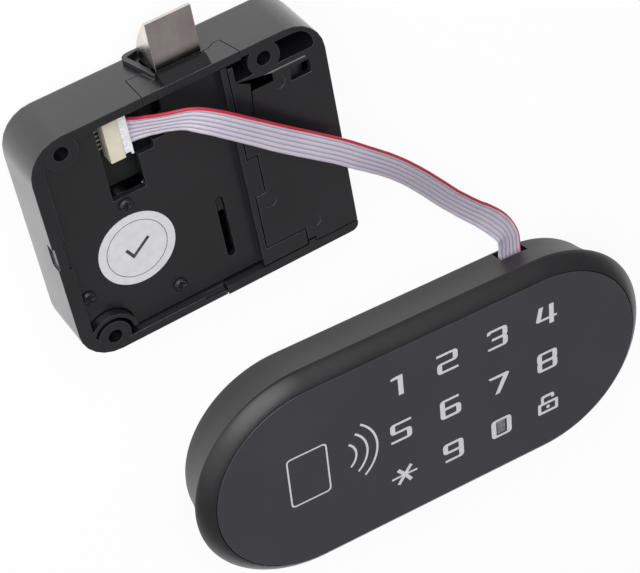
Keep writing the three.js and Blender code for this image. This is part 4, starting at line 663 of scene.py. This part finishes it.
# Painted shade: the bolt's colour darkens towards the guide in place of the dark reflection it shows there.
reach_out = nodes.new("ShaderNodeSeparateXYZ")
painted_shade_ramp = nodes.new("ShaderNodeMapRange")
painted_shade_ramp.interpolation_type = "SMOOTHSTEP"
painted_shade_ramp.inputs["From Min"].default_value = LOCK_CENTRE.y + painted_shade_start * MM
painted_shade_ramp.inputs["From Max"].default_value = LOCK_CENTRE.y + painted_shade_end * MM
painted_shade_ramp.inputs["To Min"].default_value = painted_shade_depth
painted_shade_ramp.inputs["To Max"].default_value = 0.0
darken = nodes.new("ShaderNodeMix")
darken.data_type = "RGBA"
darken.inputs["B"].default_value = (*paint(34, 32, 32), 1)
links.new(nodes["coords"].outputs["Object"], reach_out.inputs["Vector"])
links.new(reach_out.outputs["Y"], painted_shade_ramp.inputs["Value"])
links.new(painted_shade_ramp.outputs["Result"], darken.inputs["Factor"])
links.new(bright_colour, darken.inputs["A"])
links.new(darken.outputs["Result"], shader.inputs["Base Color"])
# Lighter nickel on the bolt's broken edges: a painted highlight.
bolt_edge_highlight = new_finish("bolt_edge_highlight", paint(236, 232, 228), 0.3, 1.0)
mottle(bolt_edge_highlight, speckle(bolt_edge_highlight, 900), paint(226, 221, 216), paint(243, 240, 236))
refined("latch_bolt", "spring_latch", nickel, bolt_edge, body="bolt_carriage",
        highlight_finish=bolt_edge_highlight, clamp=False)

# Slider with its rack, the pin that couples it to the bolt, and the return spring on its rod: dark acetal and
# bright steel.
slider_acetal = new_finish("slider_acetal", paint(30, 30, 32), 0.4)
mottle(slider_acetal, speckle(slider_acetal, 200), paint(26, 26, 28), paint(36, 36, 38))
grain(slider_acetal, speckle(slider_acetal, 2000), 0.00002)
steel = new_finish("steel", paint(196, 198, 202), 0.28, 1.0)
mottle(steel, speckle(steel, 400), paint(184, 186, 190), paint(208, 209, 212))
uneven_gloss(steel, speckle(steel, 700, (1, 1, 0.1)), 0.2, 0.38)
dress(slider_acetal, "bolt_slider")
dress(steel, "bolt_pin", "return_spring", "guide_rod")

# Gear train: a white acetal double gear on a steel axle, driven by the brass pinion of a small can motor. Its
# hub runs in the slider's rack and draws the bolt back.
white_acetal = new_finish("white_acetal", paint(214, 210, 200), 0.42)
mottle(white_acetal, speckle(white_acetal, 200), paint(207, 203, 192), paint(220, 217, 208))
brass = new_finish("brass", paint(196, 165, 95), 0.32, 1.0)
mottle(brass, speckle(brass, 300), paint(184, 152, 82), paint(206, 178, 110))
uneven_gloss(brass, speckle(brass, 900), 0.25, 0.42)
motor_can = new_finish("motor_can", paint(168, 170, 174), 0.3, 1.0)
mottle(motor_can, speckle(motor_can, 250, (1, 1, 0.2)), paint(156, 158, 162), paint(180, 182, 185))
uneven_gloss(motor_can, speckle(motor_can, 600, (1, 1, 0.1)), 0.24, 0.4)
dress(white_acetal, "drive_gear")
dress(steel, "gear_axle", "motor_shaft")
dress(brass, "motor_pinion")
dress(motor_can, "motor")

# Control board: dark glass-fibre laminate under the plate, which shows in the plate's cut-out. The sounder, a
# small black can, sits on its underside.
dark_board = new_finish("dark_board", paint(24, 25, 26), 0.38)
mottle(dark_board, speckle(dark_board, 120), paint(20, 21, 22), paint(31, 32, 33))
grain(dark_board, speckle(dark_board, 1400), 0.00002)
dress(dark_board, "control_board")
sounder_case = new_finish("sounder_case", paint(26, 26, 28), 0.45)
mottle(sounder_case, speckle(sounder_case, 300), paint(22, 22, 24), paint(32, 32, 34))
dress(sounder_case, "sounder")

# Header on the board: a cream nylon shroud round six tinned pins. A browned metal tab holds it at its far
# end, and a low moulded step stands at its near end.
cream_nylon = new_finish("cream_nylon", paint(222, 214, 193), 0.45)
mottle(cream_nylon, speckle(cream_nylon, 300), paint(215, 207, 185), paint(228, 221, 202))
grain(cream_nylon, speckle(cream_nylon, 2200), 0.00003)
refined("board_header", "cream_header", cream_nylon, nylon_edge)
tinned = new_finish("tinned", paint(178, 176, 172), 0.3, 1.0)
mottle(tinned, speckle(tinned, 700), paint(150, 148, 142), paint(206, 204, 200))
uneven_gloss(tinned, speckle(tinned, 1200), 0.22, 0.45)
dress(tinned, *[f"header_pin_{number}" for number in range(1, 7)])
tab_brown = new_finish("tab_brown", paint(142, 126, 100), 0.4, 0.35)
mottle(tab_brown, speckle(tab_brown, 500), paint(116, 101, 78), paint(168, 152, 124))
tab_edge = 0.12
tab_low, tab_high = (-18.3, 29.22, 12.6), (-15.0, 30.1, 15.3)
step_low, step_high = (-18.2, 16.5, 12.0), (-15.4, 17.08, 14.6)
far_tab = block("header_far_tab", tab_low, tab_high, tab_edge, in_lock)
finished(far_tab, tab_brown, "lock_body")
near_step = block("header_near_step", step_low, step_high, tab_edge, in_lock)
finished(near_step, cream_nylon, "lock_body")

# Solder joints: small bright domes of tin on the board, three past the plug towards the latch wall and three
# at the header's near end.
board_top = 11.7
joint_spots = [
    (-8.4, 27.4, 0.42), (-8.9, 28.3, 0.34), (-7.9, 28.9, 0.3),
    (-15.3, 15.7, 0.34), (-14.4, 14.9, 0.28), (-16.2, 14.7, 0.24),
]
joints = []
for joint_x, joint_y, joint_radius in joint_spots:
    clear_selection()
    bpy.ops.mesh.primitive_uv_sphere_add(segments=16, ring_count=10, radius=joint_radius * MM,
                                         location=(joint_x * MM, joint_y * MM, board_top * MM))
    joint = bpy.context.object
    joint.scale = (1, 1.25, 0.75)
    settle(joint)
    bpy.ops.object.mode_set(mode="EDIT")
    bpy.ops.mesh.select_all(action="SELECT")
    bpy.ops.mesh.bisect(plane_co=(0, 0, board_top * MM), plane_no=(0, 0, 1), use_fill=True, clear_inner=True)
    bpy.ops.object.mode_set(mode="OBJECT")
    joints.append(joint)
solder = joined(joints[0], *joints[1:])
solder.name = solder.data.name = "solder_joints"
settle(solder, in_lock)
point_outwards(solder)
smooth(solder, 60)
finished(solder, tinned, "lock_body")

# Battery cover: black ABS that slides off the underside of the bay, with ribs for the thumb. A thin upright
# lip on the end of its wall closes the joint to the shell.
bay_cover = refined("battery_cover", "bay_cover", black_abs, case_edge, body="cover",
                    highlight_finish=edge_highlight_abs)
cover_left, cover_near = ((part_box("battery_cover")[0] - LOCK_CENTRE) / MM).xy
lip_low = (cover_left - 0.26, cover_near + 0.3, 0.5)
lip_high = (cover_left + 0.5, cover_near + 1.2, 18.5)
lip_edge = 0.05
lip = block("cover_lip", lip_low, lip_high, lip_edge, in_lock)
lip.data.materials.append(black_abs)
joined(bay_cover, lip)

# Two cells in grey shrink sleeves, and their contacts: a nickel bridge whose edge shows in the roof's slot,
# flat terminals and conical springs.
cell_wrap = new_finish("cell_wrap", paint(112, 116, 122), 0.35, 0.5)
mottle(cell_wrap, speckle(cell_wrap, 90), paint(104, 108, 114), paint(120, 124, 130))
uneven_gloss(cell_wrap, speckle(cell_wrap, 200), 0.25, 0.4)
dress(cell_wrap, "battery_cell_1", "battery_cell_2")
strip_nickel = new_finish("strip_nickel", paint(224, 218, 212), 0.24, 1.0)
mottle(strip_nickel, speckle(strip_nickel, 600, (0.2, 1, 1)), paint(212, 204, 198), paint(232, 228, 224))
uneven_gloss(strip_nickel, speckle(strip_nickel, 900, (0.1, 1, 1)), 0.2, 0.36)
bridge_low, bridge_high = [(corner - LOCK_CENTRE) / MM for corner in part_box("contact_bridge")]
bridge_top = roof_top - 0.1
bridge_edge = 0.06
bridge_strip = block("bridge_strip", bridge_low, (*bridge_high.xy, bridge_top), bridge_edge, in_lock)
finished(bridge_strip, strip_nickel, "lock_body")
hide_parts("contact_bridge")
dress(strip_nickel, "contact_spring", "terminal_plus", "terminal_minus", "terminal_spring")

# Keypad housing: a shallow black ABS tub with half-round ends, moulded in one. Its wall leans in towards the
# side that lies on the door.
keypad_centre = (0.0083425, -0.0607583, 0)
keypad_turn = math.radians(-4.285)
keypad_place = Matrix.Translation(keypad_centre) @ Matrix.Rotation(keypad_turn, 4, "Z")
glass_length = 137.2
glass_radius = 61.9 / 2
straight = glass_length / 2 - glass_radius
tub_facet = math.radians(10)
rim_share = 0.9
tub_edge = 0.2


def round_ends(piece):
    """Turns the flat facets of a stadium's ends into arcs."""
    pick(piece)
    bpy.ops.object.mode_set(mode="EDIT")
    bpy.ops.mesh.select_all(action="DESELECT")
    bpy.ops.object.mode_set(mode="OBJECT")
    to_panel = keypad_place.inverted()
    for face in piece.data.polygons:
        middle = to_panel @ face.center
        face.select = abs(middle.x) > straight * MM and middle.xy.length > glass_radius * MM * rim_share
    bpy.ops.object.mode_set(mode="EDIT")
    bpy.ops.mesh.subdivide(number_cuts=2)
    bpy.ops.object.mode_set(mode="OBJECT")
    for vertex in piece.data.vertices:
        place = to_panel @ vertex.co
        end = math.copysign(straight * MM, place.x)
        if abs(place.x) <= abs(end):
            continue
        out = Vector((place.x - end, place.y, 0))
        turn = math.atan2(out.y, out.x) % tub_facet - tub_facet / 2
        out *= math.cos(turn) / math.cos(tub_facet / 2)
        vertex.co = keypad_place @ Vector((end + out.x, out.y, place.z))


tub_abs = new_finish("tub_abs", paint(21, 21, 25), 0.46)
mottle(tub_abs, speckle(tub_abs, 60), paint(19, 19, 23), paint(24, 24, 28))
grain(tub_abs, speckle(tub_abs, 2600), 0.00003)
satin_skin(tub_abs, 0.1, 0.36)
refined("keypad_housing", "keypad_tub", tub_abs, tub_edge, shape=round_ends)

# Keypad bezel: a satin black ABS ring screwed to the tub from behind. Its section runs from the skirt over a
# rounded lip and up a steep round shoulder to the glass, which stands a little proud of it.
bezel_section = [
    (4.17, 13.7), (4.46, 13.8), (4.52, 13.98), (4.44, 14.26), (4.24, 14.64), (3.94, 15.1), (3.5, 15.64),
    (2.95, 16.24), (2.3, 16.86), (1.65, 17.4), (1.05, 17.82), (0.6, 18.08), (0.3, 18.22), (0.3, 16.95),
    (-2.2, 16.95), (-2.2, 15.35), (-1.0, 15.35), (-1.0, 13.15), (0.2, 13.15), (0.2, 13.7),
]
sweep_steps = 72


def swept_stadium(name, section):
    """A ring round the glass, swept from a section of (distance out from the glass, height) points."""
    clear_selection()
    bpy.ops.mesh.primitive_circle_add(vertices=len(section), radius=glass_radius * MM, fill_type="NOTHING")
    ring = bpy.context.object
    ring.name = ring.data.name = name
    for vertex, (margin, height) in zip(ring.data.vertices, section):
        vertex.co = Vector((straight, -(glass_radius + margin), height)) * MM
    bpy.ops.object.mode_set(mode="EDIT")
    bpy.ops.mesh.select_all(action="SELECT")
    for end, back in ((straight, -2 * straight), (-straight, 2 * straight)):
        bpy.ops.mesh.spin(steps=sweep_steps, angle=-math.pi, center=(end * MM, 0, 0), axis=(0, 0, 1))
        bpy.ops.mesh.extrude_region_move(TRANSFORM_OT_translate={"value": (back * MM, 0, 0)})
    bpy.ops.object.mode_set(mode="OBJECT")
    point_outwards(ring, 0.00001)
    settle(ring, keypad_place)
    return ring


bezel_abs = new_finish("bezel_abs", paint(22, 22, 25), 0.34)
mottle(bezel_abs, speckle(bezel_abs, 50), paint(20, 20, 23), paint(25, 25, 28))
uneven_gloss(bezel_abs, speckle(bezel_abs, 70), 0.38, 0.46)
satin_skin(bezel_abs, 0.3, 0.34)
bezel = swept_stadium("keypad_frame", bezel_section)
smooth(bezel, 25)
finished(bezel, bezel_abs, "lock_body")
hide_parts("keypad_bezel")

# Glass over the keypad: a stadium of toughened glass, printed dark grey from behind, with a polished edge and
# a pocket for the light window. It is bonded to the bezel's ledge.
glass_bottom, glass_top = 17.0, 18.5
polish = 0.22
panel_print = new_finish("panel_print", paint(61, 61, 66), 0.24)
mottle(panel_print, speckle(panel_print, 40), paint(60, 60, 65), paint(63, 63, 68))
uneven_gloss(panel_print, speckle(panel_print, 25), 0.22, 0.27)
clear_selection()
bpy.ops.mesh.primitive_circle_add(vertices=144, radius=glass_radius * MM, fill_type="NGON")
glass = bpy.context.object
glass.name = glass.data.name = "key_glass"
for vertex in glass.data.vertices:
    if abs(vertex.co.x) > 0.01 * MM:
        vertex.co.x += math.copysign(straight * MM, vertex.co.x)
    vertex.co.z = glass_bottom * MM
bpy.ops.object.mode_set(mode="EDIT")
bpy.ops.mesh.select_all(action="SELECT")
bpy.ops.mesh.extrude_region_move(TRANSFORM_OT_translate={"value": (0, 0, (glass_top - glass_bottom) * MM)})
bpy.ops.object.mode_set(mode="OBJECT")
polished = glass.modifiers.new("polished_edge", "BEVEL")
polished.width = polish * MM
polished.segments = 3
polished.limit_method = "ANGLE"
bpy.ops.object.modifier_apply(modifier="polished_edge")
window_u, window_v = 22.1, -15.6
window_width, window_length = 2.8, 4.6
window_gap = 0.06
window_floor = 17.6
window_left, window_right = window_u - window_width / 2, window_u + window_width / 2
window_near, window_far = window_v - window_length / 2, window_v + window_length / 2
pocket_edge = 0.2
pocket = block("window_pocket", (window_left - window_gap, window_near - window_gap, window_floor),
               (window_right + window_gap, window_far + window_gap, glass_top + 1), pocket_edge)
cut_away(glass, pocket)
point_outwards(glass)
settle(glass, keypad_place)
smooth(glass)
finished(glass, panel_print, "lock_body")
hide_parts("touch_panel")

# Light window inside the nought: a small smoky plastic lens over the status lamp. It is pressed into the
# pocket, almost flush with the glass.
window_lens = new_finish("window_lens", paint(128, 128, 130), 0.26)
mottle(window_lens, speckle(window_lens, 900), paint(104, 104, 106), paint(146, 146, 148))
lens_low = (window_left, window_near, window_floor + 0.05)
lens_high = (window_right, window_far, glass_top - 0.02)
lens_edge = 0.15
light_window = block("light_window", lens_low, lens_high, lens_edge, keypad_place)
finished(light_window, window_lens, "lock_body")
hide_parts("status_window")

# Figures on the keys: plain numbers, a star and an open padlock, printed pale grey in four columns and three
# rows. Each outline is given in shares of a figure's half width and half height.
key_ink = new_finish("key_ink", paint(220, 220, 225), 0.4)
mottle(key_ink, speckle(key_ink, 1200), paint(214, 214, 219), paint(226, 226, 230))
figure_half_width = 3.45
figure_half_height = 3.55
column_places = (-10.6, 5.75, 22.2, 38.6)
row_places = (18.3, 1.2, -15.7)
bar = 0.77
stem = 0.53
bend = 0.4
nick = 0.12
two_shares = [
    (-1, bar), (-1, 1), (1, 1, bend), (1, -0.11, bend), (-stem, -0.11), (-stem, -bar), (1, -bar), (1, -1),
    (-1, -1, bend), (-1, 0.11, bend), (stem, 0.11), (stem, bar),
]
six_shares = [
    (-1, 1, bend), (0.84, 1), (0.84, bar), (-stem, bar), (-stem, 0.13), (1, 0.13, bend), (1, -1, bend),
    (-1, -1, bend),
]
six_hole_shares = [(-stem, -0.73, nick), (stem, -0.73, nick), (stem, -0.12, nick), (-stem, -0.12, nick)]


def turned(outline, across, up):
    return [(corner[0] * across, corner[1] * up, *corner[2:]) for corner in outline]


one_shares = [
    (-0.55, 0.65), (-0.55, 0.86), (0.09, 0.95), (0.56, 0.95), (0.56, -1.08), (0.09, -1.08), (0.09, 0.65),
]
three_shares = [
    (-0.96, 0.62), (-0.96, 1, 0.3), (1, 1, bend), (1, 0.16, nick), (0.87, 0), (1, -0.16, nick), (1, -1, bend),
    (-1, -1, 0.3), (-0.95, -0.8), (-0.6, -bar), (stem, -bar), (stem, -0.12), (-0.52, -0.12), (-0.52, 0.12),
    (stem, 0.12), (stem, bar), (-0.55, bar), (-0.7, 0.62),
]
four_shares = [
    (-0.67, 0.97), (-0.24, 0.97), (-0.51, -0.27), (0.32, -0.27), (0.32, 0.96), (0.77, 0.96), (0.77, -0.27),
    (1.06, -0.27), (1.06, -0.49), (0.77, -0.49), (0.77, -1.04), (0.32, -1.04), (0.32, -0.49), (-0.84, -0.49),
    (-0.99, -0.34),
]
seven_shares = [
    (-1.02, 0.93), (-0.9, 0.7), (0.38, 0.65), (-0.46, -1.03), (0, -1), (1.01, 0.8, nick), (0.82, 0.94, nick),
]
eight_shares = [
    (-1, 1, bend), (1, 1, bend), (1, 0.12, nick), (0.9, 0), (1, -0.12, nick), (1, -1, bend), (-1, -1, bend),
    (-1, -0.12, nick), (-0.9, 0), (-1, 0.12, nick),
]
eight_hole_shares = [(-stem, bar, nick), (stem, bar, nick), (stem, 0.14, nick), (-stem, 0.14, nick)]
eight_low_hole_shares = [(-stem, -0.14, nick), (stem, -0.14, nick), (stem, -bar, nick), (-stem, -bar, nick)]
nought_shares = [(-1, 0.97, bend), (1, 0.97, bend), (1, -0.97, bend), (-1, -0.97, bend)]
nought_hole_shares = [(-stem, 0.74, nick), (stem, 0.74, nick), (stem, -0.74, nick), (-stem, -0.74, nick)]
figure_shares = {
    "1": [one_shares],
    "2": [two_shares],
    "3": [three_shares],
    "4": [four_shares],
    "5": [turned(two_shares, -1, 1)],
    "6": [six_shares, six_hole_shares],
    "7": [seven_shares],
    "8": [eight_shares, eight_hole_shares, eight_low_hole_shares],
    "9": [turned(six_shares, -1, -1), turned(six_hole_shares, -1, -1)],
    "0": [nought_shares, nought_hole_shares],
}


def on_panel(u, v):
    return keypad_place @ Matrix.Translation(Vector((u, v, glass_top)) * MM)


def scaled(outline):
    """An outline in shares as one in millimetres."""
    return [(corner[0] * figure_half_width, corner[1] * figure_half_height,
             *[reach * figure_half_width for reach in corner[2:]]) for corner in outline]


key_rows = ("1234", "5678", "*90L")
for row, keys in enumerate(key_rows):
    for column, key in enumerate(keys):
        if key not in figure_shares:
            continue
        outlines = [rounded(scaled(outline)) for outline in figure_shares[key]]
        printed(f"figure_{key}", outlines, key_ink, on_panel(column_places[column], row_places[row]))

star_arms = (
    (-2, 4.1, 0.34), (51, 3.6, 0.56), (129, 3.4, 0.56),
    (182, 4.3, 0.34), (233, 3.7, 0.56), (303, 3.6, 0.56),
)
star = []
for index, (degrees, length, half_width) in enumerate(star_arms):
    next_degrees, next_half_width = star_arms[(index + 1) % len(star_arms)][::2]
    along = Vector((math.cos(math.radians(degrees)), math.sin(math.radians(degrees))))
    next_along = Vector((math.cos(math.radians(next_degrees)), math.sin(math.radians(next_degrees))))
    aside = Vector((-along.y, along.x))
    star += [along * length - aside * half_width, along * length + aside * half_width]
    opening = math.radians(next_degrees - degrees)
    star.append((next_along * half_width + along * next_half_width) / math.sin(opening))
printed("figure_star", [star], key_ink, on_panel(column_places[0], row_places[2]))

padlock_body = [(-3.7, -3.05, 0.6), (3.3, -3.05, 0.6), (3.3, 1.15, 0.6), (-1.6, 1.15), (-1.6, 2.95, 0.5),
                (1.0, 2.95, 0.5), (1.0, 2.1), (2.0, 2.1), (2.0, 3.95, 0.9), (-2.6, 3.95, 0.9), (-2.6, 1.15),
                (-3.7, 1.15, 0.6)]
padlock_hole = [(-2.6, -2.15, 0.3), (2.25, -2.15, 0.3), (2.25, 0.25, 0.3), (-2.6, 0.25, 0.3)]
keyhole = circle(0.62, 24, (-0.2, -0.95))
printed("figure_padlock", [rounded(padlock_body), rounded(padlock_hole), keyhole], key_ink,
        on_panel(column_places[3], row_places[2]))

# Reader mark beside the keys, over the coil that reads a card: the outline of a card and three waves, in the
# same pale print.
card_left, card_right, card_low, card_high = -46.7, -33.9, -8.1, 10.1
card_line = 0.5
card_bend = 1.6


def card_outline(inset):
    left, right = card_left + inset, card_right - inset
    low, high = card_low + inset, card_high - inset
    corner = card_bend - inset
    return rounded([(left, low, corner), (right, low, corner), (right, high, corner), (left, high, corner)])


printed("card_mark", [card_outline(0), card_outline(card_line)], key_ink, on_panel(0, 0))
wave_u, wave_v = -30.6, 1.0
wave_line = 0.68
wave_half_degrees = 52
wave_steps = 36
wave_radii = (5.4, 9.0, 12.2)
sweep = [math.radians(wave_half_degrees * (2 * step / wave_steps - 1)) for step in range(wave_steps + 1)]
sweep_ways = [Vector((math.cos(turn), math.sin(turn))) for turn in sweep]
for number, wave_radius in enumerate(wave_radii, 1):
    outer = [way * (wave_radius + wave_line / 2) for way in sweep_ways]
    inner = [way * (wave_radius - wave_line / 2) for way in reversed(sweep_ways)]
    printed(f"wave_mark_{number}", [outer + inner], key_ink, on_panel(wave_u, wave_v))

# Inside the keypad: the touch board behind the glass, with its copper reader coil, socket and buzzer. Six
# screws go in from the back, and two brass inserts take the screws that hold the keypad on a door.
dress(dark_board, "touch_board")
dress(sounder_case, "keypad_buzzer")
dress(cream_nylon, "keypad_socket")
copper = new_finish("copper", paint(184, 115, 51), 0.4, 1.0)
mottle(copper, speckle(copper, 500), paint(170, 102, 44), paint(198, 130, 64))
dress(copper, "reader_coil")
dress(brass, "mount_insert_left", "mount_insert_right")
dress(black_screw, *[f"keypad_screw_{number}" for number in range(1, 7)])

# Studio: a white table that keeps the object's soft shadow, a dim even room that the camera sees as white,
# and two wide soft lamps on the camera's side.
table_size = 6
table_drop = 0.0002
table_glow_share = 0.93
room_level = 0.25
clear_selection()
bpy.ops.mesh.primitive_plane_add(size=table_size, location=(0, 0, -table_drop))
table = bpy.context.object
table.name = "table"
table_white = bpy.data.materials.new("table_white")
table_white.use_nodes = True
nodes, links = table_white.node_tree.nodes, table_white.node_tree.links
nodes.clear()
matt = nodes.new("ShaderNodeBsdfDiffuse")
matt.inputs["Color"].default_value = (0.95, 0.95, 0.95, 1)
glow = nodes.new("ShaderNodeEmission")
glow.inputs["Strength"].default_value = 1.0
ray = nodes.new("ShaderNodeLightPath")
seen = nodes.new("ShaderNodeMath")
seen.operation = "MAXIMUM"
seen_most = nodes.new("ShaderNodeMath")
seen_most.operation = "MAXIMUM"
share_seen = nodes.new("ShaderNodeMath")
share_seen.operation = "MULTIPLY"
share_seen.inputs[1].default_value = table_glow_share
blend_floor = nodes.new("ShaderNodeMixShader")
out = nodes.new("ShaderNodeOutputMaterial")
links.new(ray.outputs["Is Camera Ray"], seen.inputs[0])
links.new(ray.outputs["Is Glossy Ray"], seen.inputs[1])
links.new(seen.outputs[0], seen_most.inputs[0])
links.new(ray.outputs["Is Transmission Ray"], seen_most.inputs[1])
links.new(seen_most.outputs[0], share_seen.inputs[0])
links.new(share_seen.outputs[0], blend_floor.inputs["Fac"])
links.new(matt.outputs["BSDF"], blend_floor.inputs[1])
links.new(glow.outputs["Emission"], blend_floor.inputs[2])
links.new(blend_floor.outputs["Shader"], out.inputs["Surface"])
table.data.materials.append(table_white)

world = bpy.data.worlds.new("room")
bpy.context.scene.world = world
world.use_nodes = True
nodes, links = world.node_tree.nodes, world.node_tree.links
nodes.clear()
room = nodes.new("ShaderNodeBackground")
room.inputs["Color"].default_value = (1, 1, 1, 1)
ray = nodes.new("ShaderNodeLightPath")
level = nodes.new("ShaderNodeMapRange")
level.inputs["To Min"].default_value = room_level
level.inputs["To Max"].default_value = 1.0
out = nodes.new("ShaderNodeOutputWorld")
links.new(ray.outputs["Is Camera Ray"], level.inputs["Value"])
links.new(level.outputs["Result"], room.inputs["Strength"])
links.new(room.outputs["Background"], out.inputs["Surface"])

for name, place, size, power in (
    ("lamp_left", (-0.75, 0.35, 0.6), 1.4, 4.0),
    ("lamp_front", (-0.3, 0.95, 0.95), 1.4, 15.5),
):
    lamp_data = bpy.data.lights.new(name, "AREA")
    lamp_data.shape = "DISK"
    lamp_data.size = size
    lamp_data.energy = power
    lamp = bpy.data.objects.new(name, lamp_data)
    bpy.context.scene.collection.objects.link(lamp)
    lamp.location = place
    lamp.rotation_euler = (-Vector(place)).to_track_quat("-Z", "Y").to_euler()

bpy.context.scene.view_settings.view_transform = "Standard"
